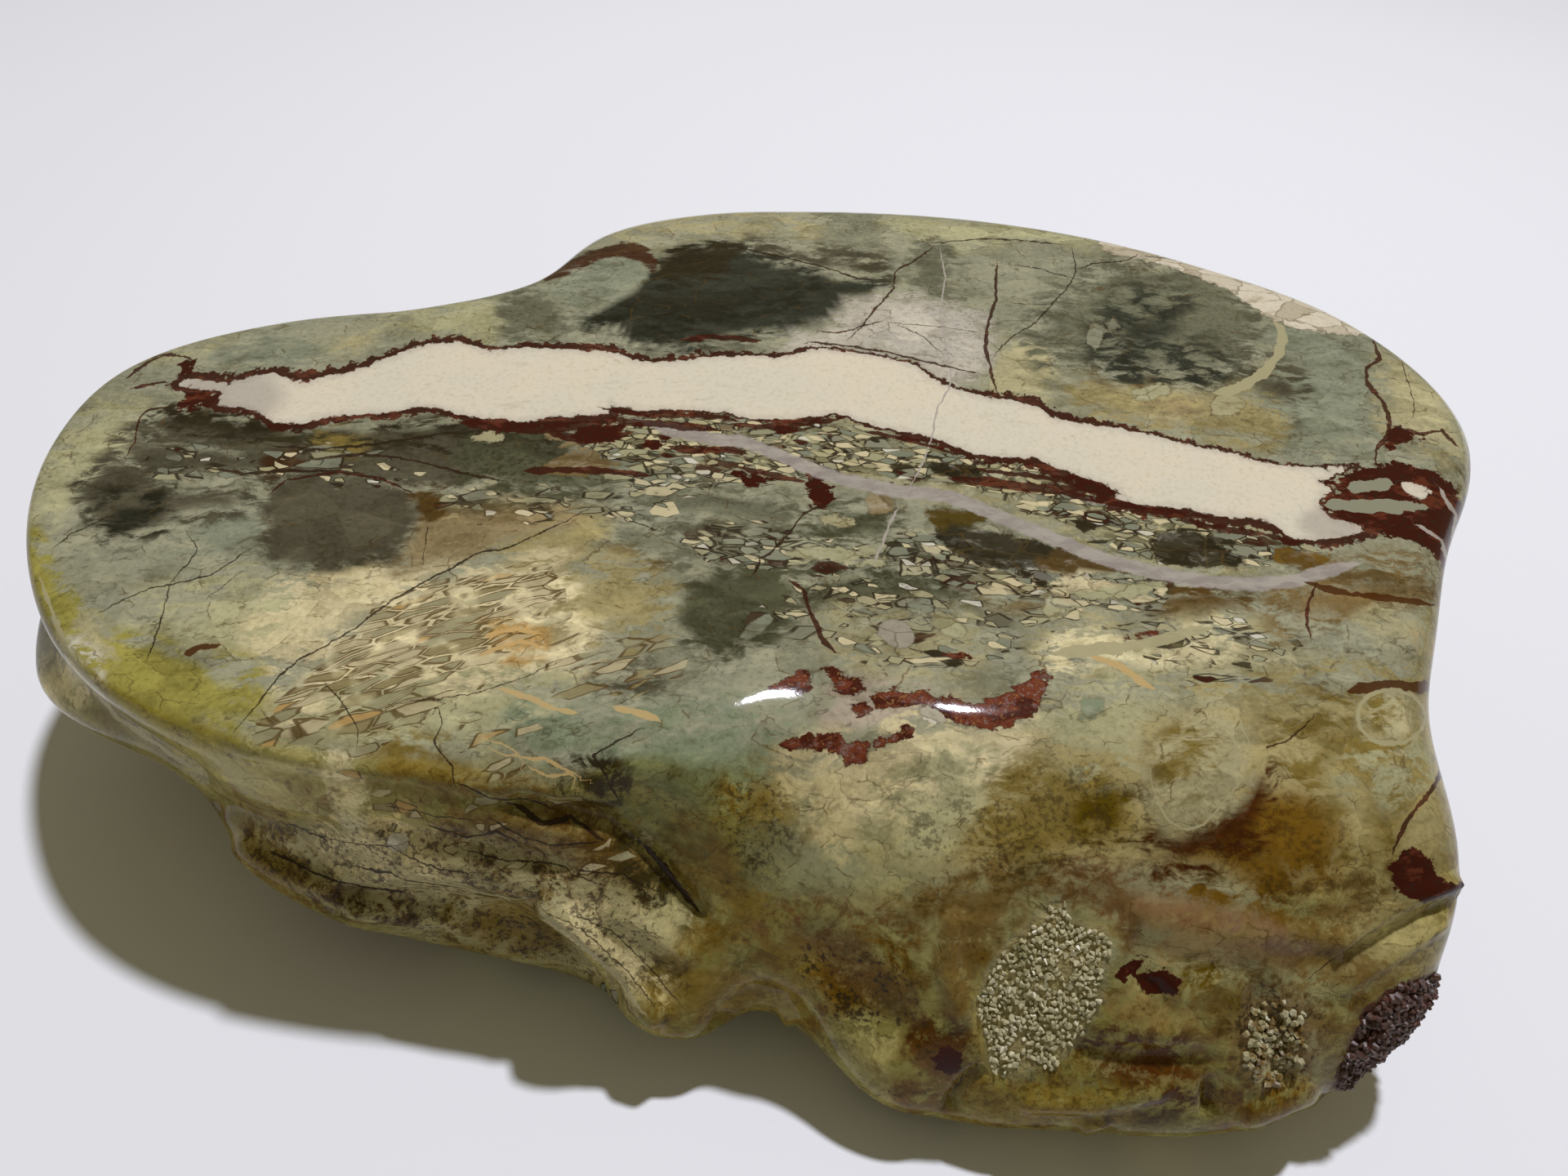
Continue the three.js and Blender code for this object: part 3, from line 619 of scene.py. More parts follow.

# Healed cracks, threads, thin red bands and slivers, and a painted highlight along the left rim: their
# tone, half width in millimetres and course.
CRACKS = {
    "lens above the seam": (1, 0.5, "835,416 870,413 905,414 932,418"),
    "line over the lens": (1, 0.55, "640,577 700,575 745,576 798,582"),
    "upper filament": (1, 0.4, "738,500 790,509 830,508 890,512 905,516"),
    "filament under it": (1, 0.6, "745,512 780,518 820,520 850,524 880,527"),
    "filament at 900": (1, 0.5, "895,520 935,522 962,520 1000,516 1030,514"),
    "band at 620": (1, 0.8, "560,516 600,522 660,526 700,522 745,516"),
    "band at 700": (1, 0.7, "670,530 710,538 745,536 775,530"),
    "second line": (1, 0.8, "1160,586 1210,590 1260,596 1310,598 1372,604"),
    "second line's echo": (1, 0.45, "1195,574 1240,580 1290,586 1330,594"),
    "third line": (1, 0.55, "1300,604 1360,614 1420,626 1480,634"),
    "right echo": (1, 0.5, "1440,636 1500,648 1545,654 1580,662"),
    "echo at 860": (1, 0.6, "820,548 850,552 890,550 915,556"),
    "echo at 940": (1, 0.5, "905,572 945,582 985,590"),
    "echo at 1080": (1, 0.4, "1060,528 1100,536 1140,546 1170,556"),
    "grey fracture": (2, 0.16,
        "1150,300 1158,340 1150,380 1160,430 1165,470 1148,500 1140,540 1128,570 1110,605"
    ),
    "green line under the seam": (0, 0.217, "330,545 380,550 450,545 520,535 560,528"),
    "brown band left": (0.3, 0.248, "250,572 300,580 350,577 400,576 450,580"),
    "brown band by the gold": (0.3, 0.217, "395,560 440,556 500,562 560,578 620,590"),
    "pale thread right": (2, 0.2, "1100,620 1090,640 1082,662 1070,690"),
    "left rim crack": (0.1, 0.087, "65,672 85,655 120,638 140,630"),
    "short left crack": (0.1, 0.062, "82,595 125,583 150,578"),
    "left field crack": (0.1, 0.093, "118,752 150,735 180,722 205,716 230,712 260,703 280,690 310,670"),
    "left field fork": (0.1, 0.081, "228,650 243,673 232,690 218,702 208,718"),
    "crack down to the rim": (0.1, 0.099, "209,716 200,745 195,765 188,785 178,812"),
    "faint crack": (0.0, 0.043, "250,735 275,715 300,698"),
    "long diagonal": (0.1, 0.124,
        "288,896 310,868 345,825 370,805 400,790 440,765 480,735 525,710 560,692 580,678 620,672 649,658 "
        "690,640 730,618"
    ),
    "diagonal's second leg": (0.1, 0.062, "736,618 775,640 810,650"),
    "short upright": (0.2, 0.081, "524,645 520,670 517,692"),
    "middle crack": (0.35, 0.174, "1012,617 985,628 975,640 965,655 950,670 938,682 924,684"),
    "middle crack's foot": (0.3, 0.161, "930,684 928,695 922,704"),
    "red threads below": (0.8, 0.35, "968,710 985,725 990,745 1000,765 1008,785 1025,800"),
    "hump crack": (0.5, 0.186,
        "1145,300 1130,313 1115,322 1102,328 1095,335 1095,352 1085,365 1070,380 1055,400 1040,415"
    ),
    "hump line": (0.25, 0.136, "900,302 960,315 1010,327 1050,341 1092,345"),
    "red-filled crack": (0.7, 0.341,
        "1221,322 1219,345 1220,365 1213,385 1208,405 1206,425 1212,445 1215,465 1222,480"
    ),
    "rim crack": (0.1, 0.112, "1130,299 1205,292 1250,294 1310,300"),
    "right crack": (0.3, 0.136,
        "1312,302 1318,330 1312,345 1305,355 1285,375 1268,395 1245,408 1225,425 1215,440"
    ),
    "cross crack": (0.2, 0.087, "1240,324 1270,328 1313,340"),
    "rim branch": (0.2, 0.112, "1317,330 1340,322 1375,320 1395,312"),
    "faint branch": (0.1, 0.062, "1395,312 1430,316 1470,325 1505,332"),
    "hair across": (0.0, 0.05, "1235,370 1260,373 1300,372"),
    "crackle a": (0.1, 0.062, "1085,395 1120,398 1150,400 1205,408"),
    "crackle b": (0.1, 0.087, "1100,398 1130,412 1155,435"),
    "crackle c": (0.5, 0.136, "1000,405 1030,408 1055,400 1085,392"),
    "dark under the white": (0.6, 0.186, "985,418 1040,424 1090,432 1120,440 1150,447 1200,458"),
    "brown thread": (0.9, 0.4,
        "1680,415 1690,440 1672,452 1674,470 1692,490 1702,515 1700,535 1686,548 1684,570"
    ),
    "brown thread beside it": (0.7, 0.099, "1715,440 1725,470 1733,500 1728,515"),
    "brown branch": (0.9, 0.3, "1706,522 1740,532 1765,527 1785,548"),
    "brown thread below the vein": (0.8, 0.22, "1612,712 1602,740 1600,765 1606,782"),
    "thread on the front": (0.6, 0.124, "1545,918 1580,905 1612,875"),
    "corner thread": (0.9, 0.35, "1770,935 1755,965 1722,1005 1706,1045"),
    "tip loop": (0.8, 0.25, "150,466 168,452 187,440 190,434 215,434 238,440"),
    "tip loop below": (0.8, 0.25, "160,476 190,470 205,466"),
    "tip thread down": (0.7, 0.174, "212,498 180,502 169,515 166,540 153,562"),
    "front edge thread": (0.3, 0.074, "690,808 640,830 580,850 480,862"),
    "arc on the shoulder": (0.2, 0.099, "395,835 420,862 440,895 436,915"),
    "arc right of it": (0.2, 0.099, "535,860 543,885 530,910 555,940 560,965"),
    "fork a": (0.1, 0.155, "760,985 742,950 725,925 760,905 790,890"),
    "fork b": (0.1, 0.136, "560,955 600,975 640,985 680,1000"),
    "wall line a": (0.1, 0.124, "600,1000 640,1025 680,1035 740,1030"),
    "wall line b": (0.1, 0.124, "700,1065 760,1070 810,1095"),
    "crystal arc": (0.3, 0.099, "1165,1350 1180,1325 1200,1310"),
    "pale facet line": (0.0, 0.062, "1600,1200 1650,1160 1700,1120"),
    "yellow tongue": (3.45, 0.45, "612,843 645,854 680,868 706,873"),
    "yellow tongue right": (3.45, 0.5, "752,866 780,872 808,882"),
    "yellow ring": (3.5, 0.18, "590,905 615,911 640,925 618,926 594,914"),
    "yellow ring right": (3.4, 0.22, "640,927 668,930 702,947 672,951 645,938"),
    "yellow comma": (3.4, 0.6, "1334,804 1364,812 1390,829 1412,843"),
    "swirl": (4, 0.95, "1486,482 1518,475 1548,457 1567,432 1572,408 1560,392"),
    "brown bar": (5, 0.9, "1650,847 1690,839 1730,840 1758,843"),
    "brown bar above": (5, 0.55, "1598,713 1650,726 1700,732 1757,741"),
    "brown comma": (5, 0.55, "226,802 244,793 268,791"),
    "white band": (4, 0.9, "1286,800 1340,797 1400,790 1440,777 1484,769"),
    "left nodule's ring": (4, 0.12,
        "1408,940 1414,974 1431,1006 1452,1018 1474,1010 1500,982 1524,950 1531,914 1517,879 1490,866"
    ),
    "right nodule's ring": (4, 0.3, [*oval(1703, 878, 42, 34), (1745, 878)]),
    # A pale line along the tight left rim where the lamp's highlight runs: a painted highlight.
    "painted highlight along the left rim": (4, 0.35, "48,705 80,795 145,880 250,950"),
    "orange seam in the front": (3.25, 0.3, "588,802 612,793 640,785 668,795"),
    "orange seam": (3.2, 0.35, "596,778 630,770 662,776"),
    "brown streak in the wall": (0.1, 0.18, "330,1040 380,1065 440,1090 500,1105"),
    "brown streak below it": (0.1, 0.16, "430,1060 500,1075 560,1085 640,1095"),
    "dark network": (0.2, 0.3, "620,985 660,1010 700,1008 742,1030"),
    "dark network's branch": (0.2, 0.26, "520,1012 570,1030 610,1018 650,1040"),
    "green lens": (6, 1.25, "1650,598 1676,595 1704,592"),
    "long green lens": (6, 1.1, "1622,618 1680,619 1748,622"),
    "lilac thread": (2, 0.35, "1762,598 1782,630 1778,668"),
    "lilac thread below": (2, 0.3, "1736,642 1764,660 1774,692"),
    "red outline of the grey patch": (0.8, 0.2, "330,604 352,588 410,578 470,586 505,604"),
    "ridge stroke": (0.1, 0.09, "652,1112 700,1146 742,1192 786,1240"),
    "ridge stroke above": (0.1, 0.07, "668,1106 712,1130 762,1178 806,1232"),
    "pale ridge stroke": (4, 0.3, "660,1104 704,1134 750,1182 796,1236"),
    "stroke beside the ridge": (0.1, 0.07, "700,1116 750,1140 800,1190 838,1236"),
    "wall stroke a": (0.1, 0.08, "330,1010 400,1030 470,1036 540,1058 600,1064"),
    "wall stroke b": (0.1, 0.08, "560,1040 620,1056 680,1062 740,1086"),
    "wall stroke c": (0.1, 0.07, "470,985 540,1000 590,1004"),
    "wall stroke d": (4, 0.22, "470,1062 540,1078 600,1094 650,1098"),
    "hollow's edge": (0.2, 0.4, "790,1040 820,1075 852,1122"),
}

# Where fine texture shows: kind, strength, fade in millimetres and outline. The kinds are chips
# (shards with dark outlines), striae (cream slats that run up to the right), specks (dark moss-like
# grains) and rough (unpolished).
TEXTURES = {
    "chips below the seam": ("chips", 1.0, 2,
        "715,520 800,505 1000,515 1150,545 1300,585 1400,620 1560,650 1640,690 1440,690 1250,620 1050,570 "
        "900,600 780,600 720,575"
    ),
    "chip row": ("chips", 1.0, 1.5, "1080,655 1180,665 1220,690 1450,705 1430,735 1250,740 1100,710"),
    "left chip row": ("chips", 0.9, 2, "820,640 920,640 1000,668 1090,690 1000,700 860,690"),
    "chips on the tan field": ("chips", 0.45, 3, "540,595 800,590 840,640 760,650 640,630 540,640"),
    "middle chips": ("chips", 0.42, 4, "980,690 1200,700 1330,740 1300,800 1100,820 980,790 900,780"),
    "chips right": ("chips", 0.4, 4, "1330,740 1500,750 1620,800 1560,840 1400,820"),
    "left shards": ("chips", 0.32, 3, "180,540 400,550 560,560 480,600 330,590 180,590"),
    "stroked cream": ("striae", 1.0, 3,
        "475,735 560,700 680,700 700,760 620,800 520,870 430,905 300,915 350,850 420,780"
    ),
    "stroked shoulder": ("striae", 0.35, 4, "300,900 560,870 700,900 560,960 420,940"),
    "strokes by the ridge": ("striae", 0.5, 4, "620,800 800,780 860,810 760,850 620,850"),
    "wall strokes": ("striae", 0.2, 4, "450,950 640,960 760,1000 820,1090 700,1090 520,1050 440,1010"),
    "wall specks": ("specks", 0.7, 5,
        "300,1000 450,1010 620,1000 760,1060 820,1140 780,1230 600,1170 400,1120 280,1050"
    ),
    "green specks": ("specks", 0.5, 4, "570,545 700,545 700,600 580,600"),
    "middle specks": ("specks", 0.45, 4, "960,690 1200,700 1180,770 1000,770"),
    "front specks": ("specks", 0.5, 5, "1120,970 1260,935 1400,925 1420,1050 1200,1085 1100,1050"),
    "specks below the teal": ("specks", 0.6, 4, "860,960 950,940 985,1000 950,1080 880,1050"),
    "hollow specks": ("specks", 0.9, 4, "960,1150 1080,1160 1140,1230 1100,1290 1000,1250"),
    "rust specks": ("specks", 0.4, 5, "1440,960 1660,980 1660,1100 1450,1110"),
    "foot specks": ("specks", 0.4, 5, "1180,1300 1500,1290 1600,1370 1250,1385 1150,1350"),
    "vug specks": ("specks", 0.8, 4, "1500,1200 1640,1220 1620,1340 1500,1340"),
    "rough wall": ("rough", 0.5, 5, "300,1000 450,1010 640,1000 820,1120 860,1240 600,1180 400,1120"),
    "rough crystals": ("rough", 1.0, 1,
        "1300,1090 1310,1130 1370,1140 1350,1220 1330,1270 1290,1310 1220,1330 1205,1260 1200,1210 "
        "1215,1170 1260,1130"
    ),
    "rough vug": ("rough", 0.6, 3, "1510,1210 1620,1220 1620,1330 1520,1340"),
    "rough knob": ("rough", 1.0, 1,
        "1757,1190 1735,1198 1695,1212 1665,1245 1650,1290 1630,1325 1640,1350 1700,1330 1770,1270 "
        "1775,1190"
    ),
}
TEXTURE_KINDS = ("chips", "striae", "specks", "rough")

# Ridges and hollows of the broken walls: height in millimetres (below zero for a hollow), half
# width in pixels and course.
RELIEF = {
    "crest under the left wall": (1.3, 17, "430,1112 500,1124 560,1130 600,1142"),
    "striated ridge": (1.9, 24, "676,1112 705,1135 742,1175 775,1215 800,1242"),
    "hollow left of the ridge": (-1.8, 34, "600,1128 660,1150 715,1180 750,1208"),
    "dark groove": (-2.0, 24, "636,985 700,998 745,1008 792,1048 850,1120"),
    "facet right of the ridge": (1.1, 22, "745,1118 800,1140 835,1165"),
    "groove in the wall": (-1.0, 18, "470,1012 540,1028 610,1040 690,1062"),
    "bump in the wall": (1.1, 24, "500,1060 570,1068 640,1085"),
    "lower groove": (-1.2, 16, "420,1092 480,1100 560,1108"),
    "edge of the polish": (0.8, 20, "300,915 400,935 500,945 600,962 680,975"),
    "notch lip": (1.4, 13, "898,1232 925,1218 955,1224 968,1245"),
    "brown hollow": (-1.5, 62, "1000,1175 1040,1210 1080,1250"),
    "rib beside the crystals": (1.0, 22, "1165,1130 1160,1190 1175,1240"),
    "ledge under the mauve": (-1.0, 26, "1395,1165 1460,1185 1540,1195"),
    "ledge above it": (0.8, 26, "1400,1120 1480,1135 1580,1145 1640,1150"),
    "pit with the red spot": (-1.2, 22, "1385,1190 1420,1215 1432,1240"),
    "hollow by the foot": (-1.4, 30, "1330,1290 1400,1300 1470,1300"),
    "rib of the foot": (1.0, 18, "1260,1350 1340,1352 1420,1335"),
    "weathered pocket": (-1.6, 30, "1545,1225 1562,1265 1570,1310"),
    "facet edge": (1.1, 14, "1640,1152 1690,1122 1740,1096 1780,1082"),
    "facet edge below": (0.9, 14, "1650,1205 1700,1172 1762,1132"),
    "facet between": (-0.9, 14, "1655,1178 1710,1142 1770,1108"),
    "split of the foot": (-1.8, 11, "1163,1352 1180,1328 1200,1312"),
    "notch of the foot": (-2.2, 15, "1482,1356 1484,1330"),
    "lobe of the foot": (1.2, 22, "1530,1368 1570,1352 1600,1340"),
    "small lobe of the foot": (0.9, 14, "1330,1380 1350,1372"),
    "left wall's bulge": (1.0, 24, "300,1040 350,1070 400,1090"),
    "hollow under the rim": (-0.9, 20, "262,985 330,1005 400,1018"),
}

# Where grains are sown: the quartz points, the rough knob's crust and the weathered pocket's crumbs.
CRYSTAL_PATCH = (
    "1302,1092 1312,1105 1308,1128 1335,1138 1368,1140 1372,1155 1358,1175 1356,1195 1345,1215 1352,1235 "
    "1338,1262 1322,1278 1296,1288 1300,1305 1284,1318 1262,1300 1240,1312 1228,1335 1212,1318 1208,1280 "
    "1198,1262 1192,1225 1204,1208 1212,1178 1232,1158 1262,1128 1284,1108"
)
KNOB_PATCH = TEXTURES["rough knob"][3]
CRUMB_PATCH = "1535,1222 1580,1215 1606,1255 1596,1310 1560,1338 1528,1330 1515,1285"

# The most grains in a square metre, before the spacing thins them out.
GRAIN_DENSITY = 4e6


# Distances in the photograph's plane


def spots_of(course):
    """The places along a course or an outline, in the photograph's pixels."""
    if isinstance(course, str):
        course = [spot.split(",") for spot in course.split()]
    return np.array(course, float)


def softened(outline):
    """A closed outline with its corners rounded by cutting each one twice."""
    points = spots_of(outline)
    for _ in range(2):
        after = np.roll(points, -1, 0)
        points = np.stack([0.75 * points + 0.25 * after, 0.25 * points + 0.75 * after], 1).reshape(-1, 2)
    return points


def inside_by(spots, outline, soften=True, reach=90):
    """How far each spot is inside a closed outline, in pixels, or below zero how far outside it."""
    points = softened(outline) if soften else spots_of(outline)
    far = np.full(len(spots), -float(reach))
    near = np.all((spots > points.min(0) - reach) & (spots < points.max(0) + reach), axis=1)
    here = spots[near]
    least = np.full(len(here), float(reach))
    within = np.zeros(len(here), bool)
    for start, end in zip(points, np.roll(points, -1, 0)):
        step = end - start
        share = np.clip((here - start) @ step / max(step @ step, 1e-9), 0, 1)
        least = np.minimum(least, np.linalg.norm(here - start - share[:, None] * step, axis=1))
        if start[1] != end[1]:
            crossing = (start[1] > here[:, 1]) != (end[1] > here[:, 1])
            meets = start[0] + (here[:, 1] - start[1]) * step[0] / step[1]
            within ^= crossing & (here[:, 0] < meets)
    far[near] = np.where(within, least, -least)
    return far


def beside(spots, course):
    """The signed distance in pixels from each spot to a line, and the share of the line's length there."""
    points = spots_of(course)
    lengths = np.linalg.norm(np.diff(points, axis=0), axis=1)
    begun = np.concatenate([[0], np.cumsum(lengths)])
    least = np.full(len(spots), 1e9)
    signed = np.zeros(len(spots))
    along = np.zeros(len(spots))
    for k, (start, step) in enumerate(zip(points, np.diff(points, axis=0))):
        share = np.clip((spots - start) @ step / (step @ step), 0, 1)
        gap = spots - start - share[:, None] * step
        away = np.linalg.norm(gap, axis=1)
        side = np.sign(step[0] * (spots[:, 1] - start[1]) - step[1] * (spots[:, 0] - start[0]))
        nearer = away < least
        signed[nearer] = (side * away)[nearer]
        along[nearer] = ((begun[k] + share * lengths[k]) / begun[-1])[nearer]
        least = np.minimum(least, away)
    return signed, along


def ease(low, high, values):
    """Rises smoothly from 0 at low to 1 at high."""
    share = np.clip((values - low) / (high - low), 0, 1)
    return share * share * (3 - 2 * share)


def wander(points, size, seed):
    """A smooth random vector at each point, whose waves are about size metres long."""
    # The noise differs from run to run unless it is seeded.
    noise.seed_set(seed)
    # Each seed's waves also lie somewhere else.
    shift = Vector((seed * 7.3, seed * 3.1, seed * 5.7))
    return np.array([noise.noise_vector(Vector(p) / size + shift) for p in points])


# The stone

# A line is painted this far to each side of its course. Lines that come closer to each other than
# CRACK_ROOM, in pixels, go into channels of their own while there are any left.
CRACK_CHANNELS = 7
CRACK_REACH_MM = 3.0
CRACK_ROOM = 45
# How far outside or inside an outline is still measured, and how far outside every outline the sides
# count that the photograph doesn't show.
FAR_MM = 6.0
HIDDEN_MM = 3.0
# Inside the stone the seam is a sheet: its place across the stone at each place along it, the height
# of its upper edge, how far it leans back for each millimetre down, and half its thickness.
SEAM_SHEET = [
    (-140, 2), (-90, 4.2), (-65, 11.5), (-24, 14), (17.7, 14.2), (57.5, 2.2), (89.7, -1.8), (140, 4),
]
SEAM_TOP_MM = 58
SEAM_DIP = 0.35
SEAM_HALF_MM = 7.0


def finer_stone():
    """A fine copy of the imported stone, as a plain mesh."""
    node = frame["nodes"]["thunderegg"]
    shape = bmesh.new()
    shape.from_mesh(node.data)
    bmesh.ops.remove_doubles(shape, verts=shape.verts, dist=1e-6)
    bmesh.ops.join_triangles(
        shape, faces=shape.faces[:], angle_face_threshold=math.pi, angle_shape_threshold=math.pi
    )
    coarse_mesh = bpy.data.meshes.new("coarse stone")
    shape.to_mesh(coarse_mesh)
    shape.free()
    coarse = bpy.data.objects.new("coarse stone", coarse_mesh)
    bpy.context.scene.collection.objects.link(coarse)
    finer = coarse.modifiers.new("finer", "SUBSURF")
    finer.levels = finer.render_levels = 2
    graph = bpy.context.evaluated_depsgraph_get()
    mesh = bpy.data.meshes.new_from_object(coarse.evaluated_get(graph))
    bpy.data.objects.remove(coarse)
    mesh.name = "thunderegg_stone"
    return mesh


def places(mesh):
    """The mesh's points."""
    values = np.zeros(len(mesh.vertices) * 3, np.float32)
    mesh.vertices.foreach_get("co", values)
    return values.reshape(-1, 3).astype(float)


def directions(mesh):
    """The way that the surface faces at each of the mesh's points."""
    values = np.zeros(len(mesh.vertices) * 3, np.float32)
    mesh.vertex_normals.foreach_get("vector", values)
    return values.reshape(-1, 3).astype(float)


def keep(mesh, name, values):
    """Stores values at the mesh's points: one number, a vector of three, or a colour of four."""
    values = np.asarray(values, np.float32)
    kind, field = {1: ("FLOAT", "value"), 3: ("FLOAT_VECTOR", "vector"), 4: ("FLOAT_COLOR", "color")}[
        1 if values.ndim == 1 else values.shape[1]
    ]
    mesh.attributes.new(name, kind, "POINT").data.foreach_set(field, values.ravel())


class Markings:
    """Everything that is painted on the stone, worked out at its points."""

    def __init__(self, points, normals, colours):
        self.points = points
        self.normals = normals
        self.colours = colours
        self.spots, depth = seen_in_photo(points)
        self.mm_per_pixel = depth / FOCAL_PIXELS / MM
        towards = EYE - points
        towards /= np.linalg.norm(towards, axis=1)[:, None]
        self.shown = ease(0.0, 0.12, np.sum(normals * towards, axis=1))
        # A drifting outline wanders by up to about 2 mm, in waves 14 and 4 mm long.
        drift = 1.6 * wander(points, 14 * MM, 1) + 0.8 * wander(points, 4 * MM, 2)
        drift_in_view = np.stack([drift @ RIGHT, -(drift @ UP)], 1)
        self.drifted = self.spots + drift_in_view / self.mm_per_pixel[:, None]

    def colour(self, name):
        """A colour of the palette."""
        return np.array(getattr(self.colours, name))

    def inside(self, outline, drifted=False, soften=True):
        """How far inside an outline each point is, in millimetres. A drifted outline wanders."""
        spots = self.drifted if drifted else self.spots
        return inside_by(spots, outline, soften) * self.mm_per_pixel

    def grounds(self):
        """The ground colour at each point with every patch grown, and again with every patch shrunk.
        The material tears one into the other, so a soft patch gets a wispy edge as wide as its fade."""
        # Where the surface turns down from the top to the sides, by its normal's height.
        on_front = ease(0.75, 0.45, self.normals[:, 2])[:, None]
        base = self.colour("sage") + on_front * (self.colour("moor") - self.colour("sage"))
        shades = [base.copy(), base.copy()]
        for name, fade, outline in GROUND.values():
            depth = self.inside(outline, drifted=True)
            for k, (low, high) in enumerate(((-1.1, -0.3), (0.0, 0.8))):
                cover = ease(low * fade, high * fade, depth)[:, None]
                shades[k] += cover * (self.colour(name) - shades[k])
        painted = []
        for k, shade in enumerate(shades):
            hidden = self.far_side(base, 0.07 * (1 - 2 * k))
            shade = hidden + self.shown[:, None] * (shade - hidden)
            painted.append(np.hstack([shade, np.ones((len(shade), 1))]))
        return painted

    def far_side(self, base, swell):
        """The ground on the sides that the photograph doesn't show, in clouds of the same colours."""
        waves = wander(self.points, 34 * MM, 5) + 0.5 * wander(self.points, 12 * MM, 6)
        shade = base.copy()
        for name, axis, side, level in FAR_CLOUDS:
            cover = ease(level - swell - 0.04, level - swell + 0.06, side * waves[:, axis])[:, None]
            shade += cover * (self.colour(name) - shade)
        return shade

    def inlays(self, patches):
        """How far inside a crisp patch each point is, in millimetres, and that patch's colour."""
        depth = np.full(len(self.points), -FAR_MM)
        shade = np.tile(self.colour("sage"), (len(self.points), 1))
        for name, outline in patches.values():
            here = self.inside(outline)
            # A place takes the colour of the patch that it is deepest inside, and a later patch wins
            # where it is less than 0.8 mm shallower.
            top = (here > -0.8) | (here > depth)
            shade[top & (here > depth - 0.8)] = self.colour(name)
            depth = np.maximum(depth, here)
        depth = depth * self.shown - HIDDEN_MM * (1 - self.shown)
        return depth, np.hstack([shade, np.ones((len(shade), 1))])

    def islands(self, outlines):
        """How far inside the nearest of some outlines each point is, in millimetres."""
        depth = np.full(len(self.points), -FAR_MM)
        for outline in outlines:
            depth = np.maximum(depth, self.inside(outline))
        return depth * self.shown - HIDDEN_MM * (1 - self.shown)

    def seam(self):
        """How far inside the white seam each point is, the width of its lining, and its lilac tint."""
        depth = self.inside(SEAM_OUTLINE, soften=False)
        for outline in SEAM_PATCHES:
            depth = np.maximum(depth, self.inside(outline))
        x, y, z = (self.points / MM).T
        middle = np.interp(x, *np.array(SEAM_SHEET).T) + SEAM_DIP * (SEAM_TOP_MM - z)
        # The sheet thins towards its foot and its two ends, and its faces are wavy.
        at_right_end = ease(80, 108, x)
        half = SEAM_HALF_MM * np.clip(z / SEAM_TOP_MM, 0.35, 1) * ease(-95, -60, x)
        half *= 1 - 0.75 * at_right_end
        waves = 2.5 * wander(self.points, 16 * MM, 9)[:, 0]
        sheet = half - np.abs(y - middle + waves)
        depth = np.clip(self.shown * depth + (1 - self.shown) * sheet, -FAR_MM, FAR_MM)
        weight = np.zeros(len(self.points))
        width = np.zeros(len(self.points))
        for across, down, lining in LINING:
            share = 1 / (60 + np.sum((self.spots - (across, down)) ** 2, axis=1)) ** 2
            weight += share
            width += share * lining
        # On the far sides the lining is 0.9 mm wide, and 2.2 mm at the right end.
        width = self.shown * width / weight + (1 - self.shown) * (0.9 + 1.3 * at_right_end)
        tint = np.zeros(len(self.points))
        for across, down, reach in LILAC_TINTS.values():
            away = np.hypot((self.spots[:, 0] - across) / reach, (self.spots[:, 1] - down) / (0.5 * reach))
            tint = np.maximum(tint, 1 - ease(0.5, 1.3, away))
        return np.stack([depth, width, tint * self.shown], 1)

    def vein(self):
        """The signed distance to the vein's course, half its width, and how far along it that is."""
        signed, along = beside(self.spots, VEIN)
        signed = signed * self.mm_per_pixel
        half = VEIN_HALF_WIDTH * ease(0, 0.05, along) * (1 - ease(0.96, 1, along)) * self.shown
        half[np.abs(signed) > 2 * CRACK_REACH_MM] = -1
        return np.stack([np.clip(signed, -9, 9), half, along], 1)

    def cracks(self):
        """Each channel holds the signed distance to its nearest line, half its width, and its tone."""
        channels = [[] for _ in range(CRACK_CHANNELS)]
        for crack in CRACKS.values():
            here = spots_of(crack[2])
            room = []
            for channel in channels:
                courses = [spots_of(other[2])[:, None] for other in channel]
                gaps = [np.linalg.norm(course - here[None], axis=2).min() for course in courses]
                room.append(min(gaps + [999]))
            clear = [k for k in range(CRACK_CHANNELS) if room[k] > CRACK_ROOM]
            channels[clear[0] if clear else int(np.argmax(room))].append(crack)
        painted = []
        for channel in channels:
            nearest = np.full(len(self.points), 99.0)
            values = np.zeros((len(self.points), 3))
            values[:, 1] = -1
            for tone, half, course in channel:
                signed, along = beside(self.spots, course)
                signed = signed * self.mm_per_pixel
                nearer = np.abs(signed) < nearest
                taper = ease(0, 0.12, along) * (1 - ease(0.85, 1, along))
                tapered = half * (0.35 + 0.65 * taper) * (taper > 0.001)
                here = np.where(np.abs(signed) < CRACK_REACH_MM, tapered, -1.0)
                values[nearer] = np.stack([signed, here, np.full(len(signed), tone)], 1)[nearer]
                nearest = np.minimum(nearest, np.abs(signed))
            values[:, 0] = np.clip(values[:, 0], -FAR_MM, FAR_MM)
            values[:, 1] = np.where(self.shown > 0.3, values[:, 1], -1)
            painted.append(values)
        return painted

    def textures(self):
        """The strengths of chips, striae, specks and roughness at each point."""
        smooth = np.zeros(len(self.points))
        strengths = {kind: smooth for kind in TEXTURE_KINDS}
        for kind, strength, fade, outline in TEXTURES.values():
            here = strength * ease(-fade / 2, fade / 2, self.inside(outline, drifted=fade > 1))
            strengths[kind] = np.maximum(strengths[kind], here)
